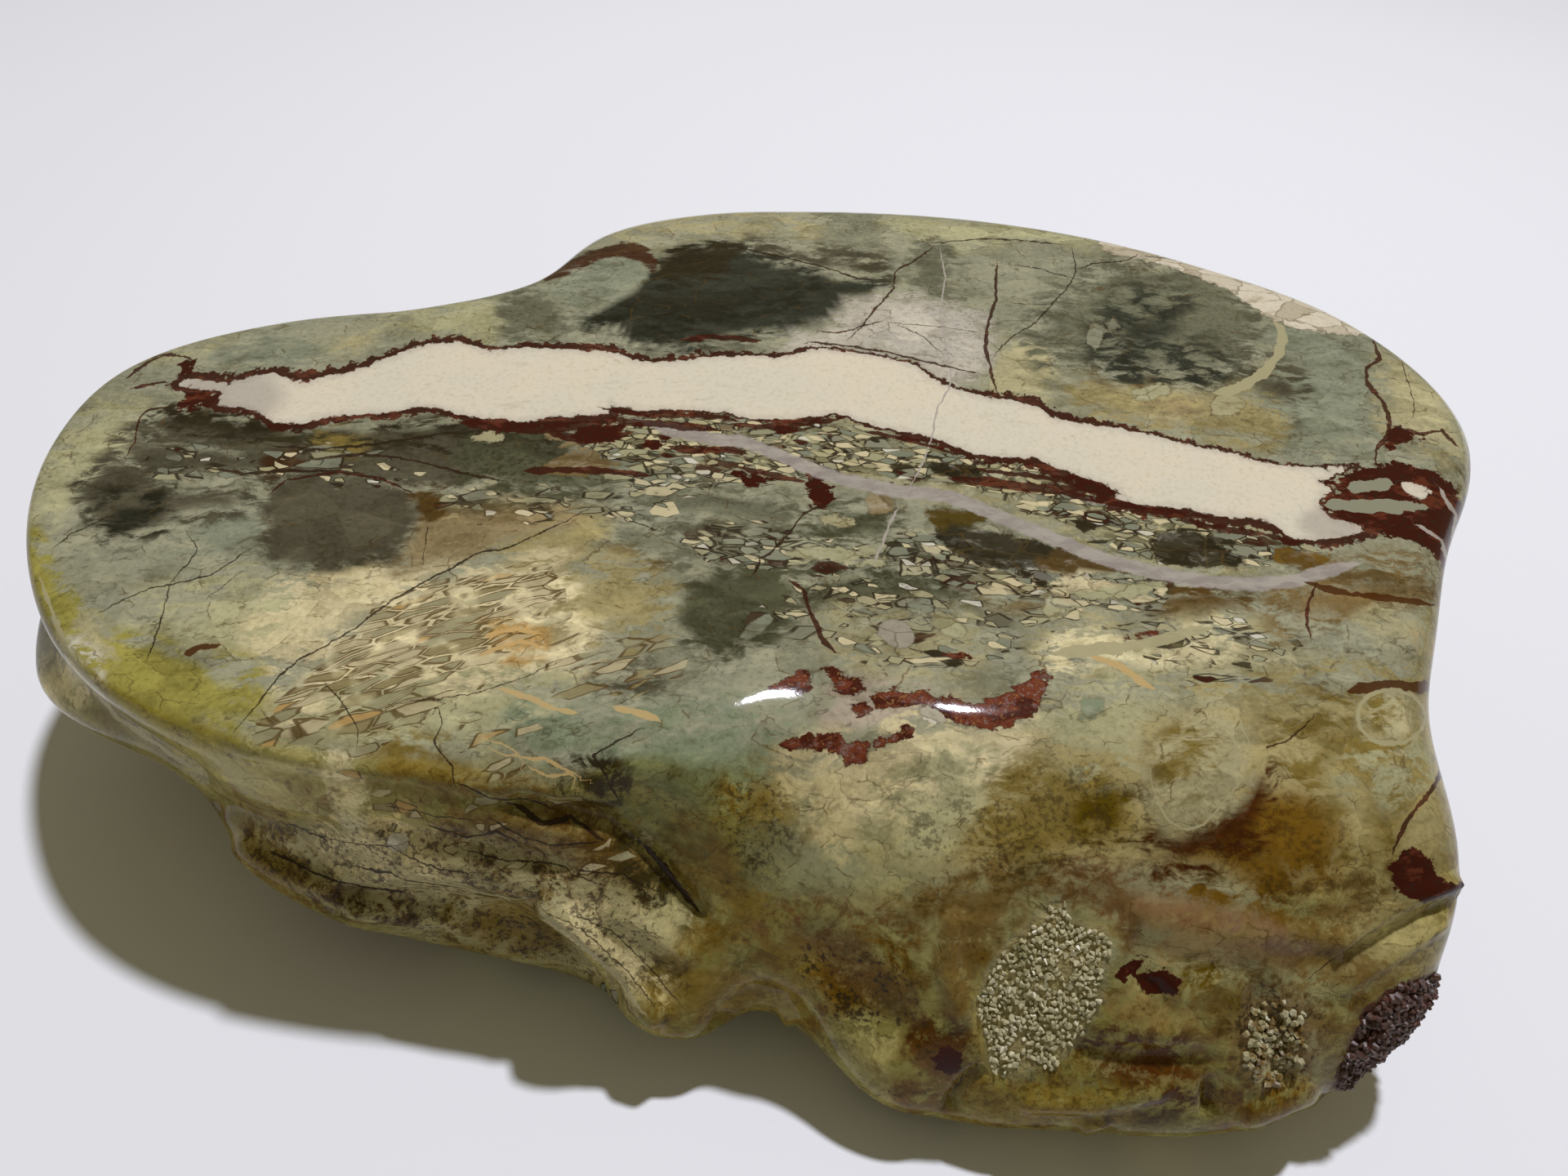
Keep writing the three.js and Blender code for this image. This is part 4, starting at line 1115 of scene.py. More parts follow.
        # The sides that the photograph doesn't show have the same textures, in clouds 30 mm across.
        hidden = 1 - self.shown
        waves = wander(self.points, 30 * MM, 11)
        hidden_levels = {
            "chips": 0.5 * ease(0.1, 0.35, waves[:, 0]), "striae": 0.5 * ease(0.15, 0.4, waves[:, 1]),
            "specks": 0.45 * ease(0.0, 0.3, waves[:, 2]), "rough": smooth,
        }
        kinds = [self.shown * strengths[kind] + hidden * hidden_levels[kind] for kind in TEXTURE_KINDS]
        return np.stack(kinds, 1)


def shape_relief(mesh, markings, strengths, sizes):
    """Moves the stone's points for the slow waves in its polish, the broken ridges and hollows of its
    walls, the gritty knob and the crystals' shallow bed."""
    points, normals = places(mesh), directions(mesh)
    rough = strengths[:, 3]
    knob = ease(-1.0, 1.0, markings.inside(KNOB_PATCH)) * markings.shown
    lift = sizes.polish_waves * wander(points, 22 * MM, 21)[:, 0]
    # Lumps of two sizes on the knob, and small pits wherever else the stone is rough.
    grit = wander(points, 3.2 * MM, 22)[:, 0] + 0.6 * wander(points, 1.5 * MM, 23)[:, 0]
    lift += knob * sizes.knob_grit * grit
    pits = np.minimum(wander(points, 2.4 * MM, 24)[:, 1] + 0.1, 0)
    lift += np.clip(rough - knob, 0, 1) * 0.9 * MM * pits
    for height, half_width, course in RELIEF.values():
        signed, along = beside(markings.spots, course)
        bump = np.clip(1 - (signed / half_width) ** 2, 0, 1) ** 2 * (signed != 0)
        lift += sizes.broken_relief * height * MM * bump * markings.shown
    # The bed in which the quartz points stand is 0.5 mm deep.
    crystal_bed = ease(-0.6, 0.8, markings.inside(CRYSTAL_PATCH)) * markings.shown
    lift -= 0.5 * MM * crystal_bed
    # The foot stays as it is packed, so the stone still stands on its flat base.
    above_foot = ease(0.2 * MM, 3 * MM, points[:, 2])
    points += normals * (lift * above_foot)[:, None]
    mesh.vertices.foreach_set("co", points.astype(np.float32).ravel())
    mesh.update()


MATH, MIX, RANGE, NOISE, CELLS = (
    "ShaderNodeMath", "ShaderNodeMix", "ShaderNodeMapRange", "ShaderNodeTexNoise", "ShaderNodeTexVoronoi"
)
# The Mix node's inputs for colours, and its settings where one colour is multiplied by another.
FACTOR, UNDER, OVER = 0, 6, 7
MULTIPLIED = {"data_type": "RGBA", "blend_type": "MULTIPLY"}
# What a colour is multiplied by: in the ground's deeper and paler places, in an inlay's dark places,
# and on the polished sides, where a warm yellow is painted shade for the warm room and floor light on them.
DEEPER, PALER = (0.40, 0.37, 0.27, 1), (1.42, 1.40, 1.34, 1)
DULLER, SIDE_WARM_SHADE = (0.45, 0.40, 0.31, 1), (1.0, 0.93, 0.62, 1)


def add(tree, kind, sockets=None, **settings):
    """Adds a node with its settings. sockets gives inputs values or links them to outputs, and a
    node given there stands for its first output."""
    node = tree.nodes.new(kind)
    for key, value in settings.items():
        setattr(node, key, value)
    for key, value in (sockets or {}).items():
        if isinstance(value, bpy.types.Node):
            value = next(output for output in value.outputs if output.enabled)
        if isinstance(value, bpy.types.NodeSocket):
            tree.links.new(value, node.inputs[key])
        else:
            node.inputs[key].default_value = value
    return node


def layered(tree, shade, *layers):
    """Lays colours over a shade in turn. Each layer is a colour, how strongly it shows, and the
    patterns it follows: a pattern, its value where the colour begins and its value where it is full."""
    for colour, strength, *patterns in layers:
        for pattern, begins, full in patterns:
            strength = add(
                tree, RANGE, {"Value": pattern, "From Min": begins, "From Max": full, "To Max": strength},
                interpolation_type="SMOOTHSTEP",
            )
        shade = add(tree, MIX, {FACTOR: strength, UNDER: shade, OVER: colour}, data_type="RGBA")
    return shade


def new_material(name):
    """An empty material, its node tree, and places on the object in millimetres."""
    material = bpy.data.materials.new(name)
    material.use_nodes = True
    tree = material.node_tree
    tree.nodes.clear()
    on_object = add(tree, "ShaderNodeTexCoord").outputs["Object"]
    place = add(tree, "ShaderNodeVectorMath", {0: on_object, "Scale": 1 / MM}, operation="SCALE")
    return material, tree, place


class JasperPaint:
    """The stone's colours, laid over each other from the ground to the cracks. The patterns are worked
    out first, and each method then lays its own part over the shade below it."""

    def __init__(self, tree, place, colours):
        self.tree = tree
        self.tone = {name: (*getattr(colours, name), 1) for name in PALETTE}
        self.set_out_patterns(place)
        self.read_what_is_painted()

    def set_out_patterns(self, place):
        """The moved and drawn-out places, and the noises on them, that tear and mottle everything."""
        tree = self.tree
        # The place moved about by noise: the noise's size and the greatest move, in millimetres.
        moved = {}
        for name, size, reach in (("drifting", 7.0, 5.0), ("jagged", 1.5, 1.1), ("bent", 6.0, 1.6)):
            swirl = add(tree, NOISE, {"Vector": place, "Scale": 1 / size, "Detail": 2.0})
            sockets = {0: swirl.outputs["Color"], 1: (reach, reach, reach), 2: place}
            moved[name] = add(tree, "ShaderNodeVectorMath", sockets, operation="MULTIPLY_ADD")

        # Places on which everything is drawn out along one direction of the plan: by how many times.
        self.drawn = drawn = {}
        for name, where, degrees, length in (
            ("bedded", moved["drifting"], 6, 2.6), ("lined", place, 12, 2.0),
            ("slats", moved["bent"], 27, 5.0), ("long shards", moved["bent"], 8, 2.8),
            ("short shards", moved["bent"], -6, 2.2), ("cobbles", moved["jagged"], 10, 1.7),
        ):
            sockets = {"Vector": where, "Rotation": (0, 0, math.radians(degrees)), "Scale": (length, 1, 1)}
            drawn[name] = add(tree, "ShaderNodeMapping", sockets, vector_type="TEXTURE")

        # Noises from 0 to 1: where they lie, their size in millimetres, their detail and its strength.
        self.waves = waves = {}
        for name, where, size, detail, strength in (
            ("clouds", moved["drifting"], 12.0, 3.0, 0.62), ("streaks", drawn["bedded"], 2.6, 4.0, 0.68),
            ("moss", moved["drifting"], 3.4, 5.0, 0.74), ("rusty", moved["drifting"], 8.0, 4.0, 0.68),
            ("grains", place, 0.8, 2.0, 0.7), ("fray", place, 1.7, 3.0, 0.65),
            ("gaps", place, 3.2, 1.0, 0.5), ("hair", drawn["lined"], 6.0, 3.0, 0.62),
            ("swell", place, 3.4, 3.0, 0.75),
        ):
            sockets = {"Vector": where, "Scale": 1 / size, "Detail": detail, "Roughness": strength}
            waves[name] = add(tree, NOISE, sockets)
        self.fray = add(tree, MATH, {0: waves["fray"], 1: 0.5}, operation="SUBTRACT")
        torn = add(tree, MATH, {0: waves["streaks"], 1: 1.1, 2: -0.55}, operation="MULTIPLY_ADD")
        self.torn = add(tree, MATH, {0: torn, 1: self.fray}, operation="ADD")

        # Old breaks all through the stone part it into pieces about 5 mm across.
        cobble = {"Vector": drawn["cobbles"], "Scale": 1 / 5.0}
        lot = add(tree, CELLS, cobble).outputs["Color"]
        self.lot = add(tree, "ShaderNodeSeparateColor", {0: lot}).outputs
        self.breaks = add(tree, CELLS, cobble, feature="DISTANCE_TO_EDGE")

    def read_what_is_painted(self):
        """What is painted on the stone's points, and how far inside each patch a place is once its
        edge is frayed, in millimetres."""
        tree, fray, torn = self.tree, self.fray, self.torn
        self.colours = {
            name: add(tree, "ShaderNodeAttribute", attribute_name=name)
            for name in ("ground_wide", "ground_thin", "inlay_colour", "upper_colour", "texture")
        }
        painted = {
            name: add(tree, "ShaderNodeAttribute", attribute_name=name).outputs["Fac"]
            for name in ("side", "rough", "inlay", "upper", "brick", "red", "knob")
        }
        self.depth = {}
        for name, edge, ragged in (
            ("inlay", torn, 1.9), ("upper", fray, 1.2), ("brick", torn, 3.0), ("red", torn, 2.8),
            ("knob", fray, 2.5),
        ):
            sockets = {0: edge, 1: ragged, 2: painted[name]}
            self.depth[name] = add(tree, MATH, sockets, operation="MULTIPLY_ADD")
        self.side, self.rough = painted["side"], painted["rough"]

    def ground(self):
        """The mottled ground. Each patch's edge is torn by streaks on the top and by moss on the sides."""
        tree, tone, side = self.tree, self.tone, self.side
        clouds, streaks, moss, rusty, grains, gaps, hair = (
            self.waves[name] for name in ("clouds", "streaks", "moss", "rusty", "grains", "gaps", "hair")
        )
        sockets = {0: self.rough, 1: -1.5, 2: 1.0}
        polished = add(tree, MATH, sockets, operation="MULTIPLY_ADD", use_clamp=True)
        # The polished sides: they carry real olive and rust stains and, at the end, a warm painted shade.
        side_stains_and_warm_shade = add(tree, MATH, {0: side, 1: polished}, operation="MULTIPLY")
        tear = add(tree, "ShaderNodeMix", {0: side, 2: streaks, 3: moss})
        ground = layered(
            tree, self.colours["ground_thin"], (self.colours["ground_wide"], 1.0, (tear, 0.43, 0.57))
        )
        self.deep = add(tree, MIX, {FACTOR: 1.0, UNDER: ground, OVER: DEEPER}, **MULTIPLIED)
        self.pale = add(tree, MIX, {FACTOR: 1.0, UNDER: ground, OVER: PALER}, **MULTIPLIED)
        deep, pale = self.deep, self.pale
        # A hair-thin line runs wherever its noise crosses the middle of its range.
        hair = add(tree, MATH, {0: hair, 1: 0.5}, operation="SUBTRACT")
        hair = add(tree, MATH, {0: hair}, operation="ABSOLUTE")
        shade = layered(
            tree, ground,
            (deep, 0.55, (streaks, 0.50, 0.70)), (pale, 0.8, (streaks, 0.49, 0.32)),
            (deep, 0.45, (clouds, 0.54, 0.70)), (pale, 0.4, (clouds, 0.45, 0.30)),
            # The sides are mossier: pale windows, dark olive fronds, rusty stains, near-black flecks.
            (tone["straw"], 0.45, (side, 0.0, 1.0), (moss, 0.46, 0.36)),
            (tone["deep_olive"], 0.5, (side_stains_and_warm_shade, 0.0, 1.0), (moss, 0.52, 0.62)),
            (tone["rust"], 0.6, (side_stains_and_warm_shade, 0.0, 1.0), (rusty, 0.56, 0.68)),
            (tone["crack"], 0.55, (side, 0.0, 1.0), (moss, 0.61, 0.66)),
            # The broken pieces are a little paler or darker than each other, with thin brown lines
            # between them.
            (deep, 0.28, (self.lot[0], 0.55, 0.75)), (pale, 0.3, (self.lot[1], 0.6, 0.75)),
            (tone["crack"], 0.42, (hair, 0.012, 0.002), (clouds, 0.42, 0.58)),
            (tone["walnut"], 0.6, (self.breaks, 0.022, 0.006), (gaps, 0.52, 0.60)),
            (deep, 0.55, (grains, 0.5, 0.8)), (pale, 0.5, (grains, 0.5, 0.2)),
        )
        # A warm yellow multiplied over the polished sides: painted shade for the warm room and floor light
        # that falls on them.
        return add(tree, MIX, {FACTOR: side_stains_and_warm_shade, UNDER: shade, OVER: SIDE_WARM_SHADE}, **MULTIPLIED)

    def broken_stone(self, shade):
        """Slats of cream and ochre that run up to the right, splinters from 1 to 6 mm long in a darker
        grey-green bed, each with a thin dark outline, and moss-like dark grains under 1 mm in clumps."""
        tree, tone, waves = self.tree, self.tone, self.waves
        texture = add(tree, "ShaderNodeSeparateColor", {0: self.colours["texture"]})
        chips, striae, specks = texture.outputs
        shade = layered(
            tree, shade,
            (tone["bed"], 0.62, (chips, 0.15, 0.75), (waves["streaks"], 0.38, 0.56)),
            (tone["seam_edge"], 0.85, (chips, 0.3, 0.9), (waves["rusty"], 0.54, 0.60)),
        )
        for name, mask, width, share, outline, opacity, edge, tints in (
            ("slats", striae, 1.4, 0.9, 0.07, 0.62, "walnut", (
                ("sand", 0.30, 0.32), ("straw", 0.52, 0.54), ("ochre", 0.84, 0.86), ("cream", 0.91, 0.92),
            )),
            ("long shards", chips, 2.1, 0.95, 0.05, 0.82, "crack", (
                ("celadon", 0.18, 0.20), ("straw", 0.46, 0.48), ("sage", 0.66, 0.68), ("moss", 0.82, 0.83),
                ("seam_edge", 0.92, 0.93),
            )),
            ("short shards", chips, 1.15, 0.7, 0.06, 0.9, "crack", (
                ("celadon", 0.28, 0.30), ("bone", 0.55, 0.57), ("chalk", 0.76, 0.78),
                ("moss", 0.84, 0.86), ("seam_edge", 0.94, 0.95),
            )),
        ):
            sockets = {"Vector": self.drawn[name], "Scale": 1 / width}
            draw = add(tree, CELLS, sockets).outputs["Color"]
            draw = add(tree, "ShaderNodeSeparateColor", {0: draw}).outputs
            inner = add(tree, CELLS, sockets, feature="DISTANCE_TO_EDGE")
            inner = add(tree, MATH, {0: draw[1], 1: -0.14, 2: inner}, operation="MULTIPLY_ADD")
            chosen = add(tree, MATH, {0: mask, 1: share, 2: -1.0}, operation="MULTIPLY_ADD")
            chosen = add(tree, MATH, {0: chosen, 1: draw[0]}, operation="ADD")
            tint = layered(
                tree, tone["cream"],
                *((tone[colour], 1.0, (draw[2], begins, full)) for colour, begins, full in tints),
                (self.deep, 0.4, (waves["streaks"], 0.5, 0.72)), (self.pale, 0.4, (self.lot[2], 0.4, 0.9)),
            )
            shade = layered(
                tree, shade,
                (tone[edge], 0.85, (inner, -0.06, -0.03), (chosen, 0.0, 0.03), (waves["gaps"], 0.3, 0.5)),
                (tint, opacity, (inner, 0.02, 0.02 + outline), (chosen, 0.0, 0.03)),
            )
        dots = add(tree, MATH, {0: waves["moss"], 1: 0.6}, operation="MULTIPLY")
        dots = add(tree, MATH, {0: waves["grains"], 1: 0.55, 2: dots}, operation="MULTIPLY_ADD")
        return layered(tree, shade, (tone["crack"], 0.8, (dots, 0.59, 0.65), (specks, 0.0, 1.0)))

    def inlays(self, shade):
        """The crisp patches, each with a faint dark edge."""
        tree, tone = self.tree, self.tone
        streaks, grains = self.waves["streaks"], self.waves["grains"]
        for patch in ("inlay", "upper"):
            colour, depth = self.colours[patch + "_colour"], self.depth[patch]
            darker = add(tree, MIX, {FACTOR: 1.0, UNDER: colour, OVER: DULLER}, **MULTIPLIED)
            tint = layered(
                tree, colour,
                (tone["chalk"], 0.25, (streaks, 0.48, 0.32)), (darker, 0.6, (streaks, 0.52, 0.7)),
                (darker, 0.5, (grains, 0.5, 0.8)), (darker, 0.5, (self.lot[0], 0.5, 0.8)),
                (tone["walnut"], 0.5, (self.breaks, 0.03, 0.008)),
            )
            edge = (tone["crack"], 0.3, (depth, -0.4, -0.1))
            shade = layered(tree, shade, edge, (tint, 0.92, (depth, -0.2, 0.2)))
        return shade

    def red_jasper(self, shade):
        """Brick-red and dark red jasper."""
        tree, tone, depth = self.tree, self.tone, self.depth
        streaks, moss, grains = (self.waves[name] for name in ("streaks", "moss", "grains"))
        brick = layered(
            tree, tone["brick"],
            (tone["seam_lilac"], 0.42, (grains, 0.50, 0.62), (moss, 0.42, 0.52)),
            (tone["seam_edge"], 0.85, (streaks, 0.50, 0.60)), (tone["ochre"], 0.25, (grains, 0.42, 0.32)),
            (tone["seam_edge"], 0.7, (depth["brick"], 0.5, 0.1)),
        )
        self.red = layered(
            tree, tone["seam_edge"],
            (tone["brick"], 0.6, (streaks, 0.48, 0.36)), (tone["crack"], 0.6, (grains, 0.52, 0.64)),
        )
        return layered(
            tree, shade,
            (brick, 1.0, (depth["brick"], -0.2, 0.2)), (self.red, 1.0, (depth["red"], -0.14, 0.14)),
        )

    def seam(self, shade):
        """The white seam of sugary chalcedony, grained at 0.8 mm, and its dark red lining."""
        tree, tone, waves = self.tree, self.tone, self.waves
        seam = add(tree, "ShaderNodeAttribute", attribute_name="seam").outputs["Vector"]
        inside, width, lilac = add(tree, "ShaderNodeSeparateXYZ", {0: seam}).outputs
        depth = add(tree, MATH, {0: self.fray, 1: 1.6, 2: inside}, operation="MULTIPLY_ADD")
        swell = add(tree, MATH, {0: waves["swell"], 1: 3.4, 2: -0.55}, operation="MULTIPLY_ADD")
        lining = add(tree, MATH, {0: width, 1: swell, 2: depth}, operation="MULTIPLY_ADD")
        white = layered(
            tree, tone["seam_cream"],
            (tone["chalk"], 0.5, (waves["clouds"], 0.4, 0.6)),
            (tone["bone"], 0.35, (waves["grains"], 0.45, 0.8)),
            (tone["sand"], 0.3, (waves["streaks"], 0.6, 0.72)),
            (tone["seam_lilac"], 0.5, (lilac, 0.0, 1.0)), (tone["seam_lilac"], 0.3, (depth, 1.3, 0.0)),
        )
        shade = layered(tree, shade, (self.red, 0.96, (lining, -0.18, 0.12)))
        return layered(tree, shade, (white, 1.0, (depth, -0.03, 0.2)))

    def vein(self, shade):
        """The lilac-grey vein, which lies over all of these."""
        tree, streaks = self.tree, self.waves["streaks"]
        vein = add(tree, "ShaderNodeAttribute", attribute_name="vein").outputs["Vector"]
        vein = add(tree, "ShaderNodeSeparateXYZ", {0: vein}).outputs
        across = add(tree, MATH, {0: self.fray, 1: 1.0, 2: vein[0]}, operation="MULTIPLY_ADD")
        across = add(tree, MATH, {0: across}, operation="ABSOLUTE")
        within = add(tree, MATH, {0: vein[1], 1: across}, operation="SUBTRACT")
        lilac = layered(tree, self.tone["vein"], (self.tone["seam_lilac"], 0.8, (streaks, 0.42, 0.60)))
        return layered(tree, shade, (lilac, 0.9, (within, -0.22, 0.22)))

    def cracks(self, shade):
        """Healed cracks, threads and thin red bands, the painted highlight along the left rim, and over
        them the rough knob's brown.
        """
        tree = self.tree
        first, *others = (self.red if name == "red" else self.tone[name] for name in LINE_TONES)
        for k in range(CRACK_CHANNELS):
            crack = add(tree, "ShaderNodeAttribute", attribute_name=f"crack_{k}").outputs["Vector"]
            crack = add(tree, "ShaderNodeSeparateXYZ", {0: crack}).outputs
            away = add(tree, MATH, {0: self.fray, 1: 0.9, 2: crack[0]}, operation="MULTIPLY_ADD")
            away = add(tree, MATH, {0: away}, operation="ABSOLUTE")
            uneven = add(tree, MATH, {0: self.waves["gaps"], 1: 1.5, 2: 0.15}, operation="MULTIPLY_ADD")
            within = add(tree, MATH, {0: crack[1], 1: uneven}, operation="MULTIPLY")
            within = add(tree, MATH, {0: within, 1: away}, operation="SUBTRACT")
            # The tone runs from one colour of the list to the next as its number rises by one.
            steps = ((colour, 1.0, (crack[2], n, n + 1.0)) for n, colour in enumerate(others))
            line = layered(tree, first, *steps)
            shade = layered(tree, shade, (line, 0.92, (within, -0.06, 0.05)))
        return layered(tree, shade, (self.tone["knob"], 1.0, (self.depth["knob"], -0.2, 0.2)))

    def polish(self, shade):
        """A mirror on the top, a little duller on the sides and matt where the stone is rough."""
        tree, rough, grains = self.tree, self.rough, self.waves["grains"]
        dull = add(tree, MATH, {0: self.side, 1: 0.16, 2: 0.06}, operation="MULTIPLY_ADD")
        gloss = add(tree, MATH, {0: self.waves["clouds"], 1: dull, 2: 0.05}, operation="MULTIPLY_ADD")
        gloss = add(tree, MATH, {0: rough, 1: 0.42, 2: gloss}, operation="MULTIPLY_ADD")
        height = add(tree, MATH, {0: rough, 1: 0.02}, operation="ADD")
        height = add(tree, MATH, {0: height, 1: grains}, operation="MULTIPLY")
        grit = add(tree, "ShaderNodeBump", {"Height": height, "Strength": 0.7, "Distance": 0.5 * MM})
        finish = {
            "Base Color": shade, "Roughness": gloss, "IOR": 1.54, "Specular IOR Level": 0.10, "Normal": grit
        }
        return add(tree, "ShaderNodeBsdfPrincipled", finish)


def polished_jasper(colours):
    """Agate and jasper, sawn, tumbled and polished with oxide until it mirrors the lamp. The eye sees
    sharp-edged inlays of colour under a clear wet gloss, and dull grains only where the polish missed."""
    material, tree, place = new_material("polished_agate_jasper")
    paint = JasperPaint(tree, place, colours)
    shade = paint.ground()
    for lay_on in (
        paint.broken_stone, paint.inlays, paint.red_jasper, paint.seam, paint.vein, paint.cracks,
    ):
        shade = lay_on(shade)
    add(tree, "ShaderNodeOutputMaterial", {"Surface": paint.polish(shade)})
    return material


class OBJECT_OT_thunderegg_stone(bpy.types.Operator):
    """Builds the stone itself with all its markings"""

    bl_idname = "object.thunderegg_stone"
    bl_label = "Thunderegg stone"

    def execute(self, context):
        colours, sizes = context.scene.thunderegg_colours, context.scene.thunderegg_sizes
        mesh = finer_stone()
        markings = Markings(places(mesh), directions(mesh), colours)
        strengths = markings.textures()
        shape_relief(mesh, markings, strengths, sizes)
        wide, thin = markings.grounds()
        keep(mesh, "ground_wide", wide)
        keep(mesh, "ground_thin", thin)
        for name, patches in (("inlay", INLAYS), ("upper", OVERLAYS)):
            depth, shade = markings.inlays(patches)
            keep(mesh, name, depth)
            keep(mesh, name + "_colour", shade)
        # 0 on the top, and 1 where the surface has turned down to a side.
        keep(mesh, "side", ease(0.85, 0.5, markings.normals[:, 2]))
        keep(mesh, "red", markings.islands(REDS.values()))
        keep(mesh, "brick", markings.islands(BRICKS.values()))
        keep(mesh, "seam", markings.seam())
        keep(mesh, "vein", markings.vein())
        for k, crack in enumerate(markings.cracks()):
            keep(mesh, f"crack_{k}", crack)
        keep(mesh, "texture", np.hstack([strengths[:, :3], np.ones((len(strengths), 1))]))
        keep(mesh, "rough", strengths[:, 3])
        keep(mesh, "knob", markings.islands([KNOB_PATCH]))
        mesh.materials.clear()
        mesh.materials.append(polished_jasper(colours))
        mesh.shade_smooth()
        stone = bpy.data.objects.new("thunderegg_stone", mesh)
        context.scene.collection.objects.link(stone)
        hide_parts("thunderegg")
        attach(stone, "root")
        return {"FINISHED"}


# Crystals and grains


# The grains' finishes: the colour, the size of its stains in millimetres, the stains (the colour, its
# strength, and where in the noise it begins and is full), the roughness and the IOR.
GRAIN_FINISHES = {
    # Quartz, grown as a druse of small points in an open pocket: it gives the eye a pale, frosty
    # sparkle with greenish shadows between the points.
    "quartz_druse": ("crystal", 3.5, (("moor", 0.7, 0.50, 0.64), ("chalk", 0.6, 0.45, 0.30)), 0.4, 1.54),
    # Ironstone, weathered and left as it was found: the eye sees a dark, broken, glinting crust.
    "weathered_ironstone": (
        "knob", 1.8, (("brick", 0.5, 0.52, 0.66), ("basalt", 0.7, 0.46, 0.34)), 0.5, 1.6,
    ),
    # Chalcedony crumbs, weathered and left unpolished: the eye sees pale cream grains in shadow.
    "weathered_chalcedony": (
        "bone", 2.6, (("rust", 0.9, 0.46, 0.56), ("chalk", 0.5, 0.42, 0.34)), 0.4, 1.54,
    ),
}


def grain_finish(name, colours):
    """The material of one of the grains' finishes."""
    base, stain_size, stains, roughness, ior = GRAIN_FINISHES[name]
    tone = {key: (*getattr(colours, key), 1) for key in PALETTE}
    material, tree, place = new_material(name)
    patches = add(tree, NOISE, {"Vector": place, "Scale": 1 / stain_size, "Detail": 4.0, "Roughness": 0.7})
    shade = layered(
        tree, tone[base],
        *((tone[stain], strength, (patches, begins, full)) for stain, strength, begins, full in stains),
    )
    finish = {"Base Color": shade, "Roughness": roughness, "IOR": ior}
    surface = add(tree, "ShaderNodeBsdfPrincipled", finish)
    add(tree, "ShaderNodeOutputMaterial", {"Surface": surface})
    return material


def grain_tree():
    """Geometry Nodes that sow small blunt cones, each with a few sides, over a patch of the stone."""
    tree = bpy.data.node_groups.new("sown grains", "GeometryNodeTree")
    inputs = tree.interface
    inputs.new_socket("Patch", in_out="INPUT", socket_type="NodeSocketGeometry")
    for name, value, low, high in (
        ("Spacing", 0.75 * MM, 0.0001, 0.01), ("Width", 0.9 * MM, 0.0001, 0.01),
        ("Height", 0.8 * MM, 0.0001, 0.01), ("Flat top", 0.1, 0.0, 1.0), ("Tilt", 0.6, 0.0, 3.2),
        ("Gaps", 0.4, 0.0, 1.0),
    ):
        socket = inputs.new_socket(name, in_out="INPUT", socket_type="NodeSocketFloat")
        socket.default_value, socket.min_value, socket.max_value = value, low, high
    for name, value in (("Sides", 6), ("Seed", 1)):
        inputs.new_socket(name, in_out="INPUT", socket_type="NodeSocketInt").default_value = value
    inputs.new_socket("Material", in_out="INPUT", socket_type="NodeSocketMaterial")
    inputs.new_socket("Grains", in_out="OUTPUT", socket_type="NodeSocketGeometry")

    given = add(tree, "NodeGroupInput").outputs
    uneven = add(tree, NOISE, {"Scale": 1 / (2.4 * MM), "Detail": 2.0}).outputs["Fac"]
    kept = add(tree, MATH, {0: uneven, 1: given["Gaps"]}, operation="GREATER_THAN")
    sown = add(
        tree, "GeometryNodeDistributePointsOnFaces",
        {
            "Mesh": given["Patch"], "Distance Min": given["Spacing"], "Density Max": GRAIN_DENSITY,
            "Density Factor": kept, "Seed": given["Seed"],
        },
        distribute_method="POISSON",
    )
    base = add(tree, MATH, {0: given["Width"], 1: 0.5}, operation="MULTIPLY")
    top = add(tree, MATH, {0: base, 1: given["Flat top"]}, operation="MULTIPLY")
    point = add(
        tree, "GeometryNodeMeshCone",
        {
            "Vertices": given["Sides"], "Radius Top": top, "Radius Bottom": base, "Depth": given["Height"],
        },
    )
    back_tilt = add(tree, MATH, {0: given["Tilt"], 1: -1.0}, operation="MULTIPLY")
    least = add(tree, "ShaderNodeCombineXYZ", {"X": back_tilt, "Y": back_tilt, "Z": -math.pi})
    most = add(tree, "ShaderNodeCombineXYZ", {"X": given["Tilt"], "Y": given["Tilt"], "Z": math.pi})
    turn = add(
        tree, "FunctionNodeRandomValue", {0: least, 1: most, "Seed": given["Seed"]},
        data_type="FLOAT_VECTOR",
    )
    turned = add(
        tree, "FunctionNodeRotateRotation", {"Rotation": sown.outputs["Rotation"], "Rotate By": turn},
        rotation_space="LOCAL",
    )
    size = add(
        tree, "FunctionNodeRandomValue", {0: (0.55, 0.55, 0.6), 1: (1.3, 1.3, 1.5), "Seed": 7},
        data_type="FLOAT_VECTOR",
    )
    placed = add(
        tree, "GeometryNodeInstanceOnPoints",
        {"Points": sown, "Instance": point, "Rotation": turned, "Scale": size},
    )
    whole = add(tree, "GeometryNodeRealizeInstances", {0: placed})
    painted = add(tree, "GeometryNodeSetMaterial", {"Geometry": whole, "Material": given["Material"]})
    add(tree, "NodeGroupOutput", {"Grains": painted})
    return tree


def stone_patch(stone, outline, name):
    """The stone's faces inside an outline in the photograph, as an object of their own."""
    points, normals = places(stone.data), directions(stone.data)
    spots, _ = seen_in_photo(points)
    chosen = (inside_by(spots, outline) > 0) & (normals @ BACK > 0)
    shape = bmesh.new()
    shape.from_mesh(stone.data)
    out = [face for face in shape.faces if not all(chosen[v.index] for v in face.verts)]
    bmesh.ops.delete(shape, geom=out, context="FACES")
    mesh = bpy.data.meshes.new(name)
    shape.to_mesh(mesh)
    shape.free()
    patch = bpy.data.objects.new(name, mesh)
    bpy.context.scene.collection.objects.link(patch)
    return patch


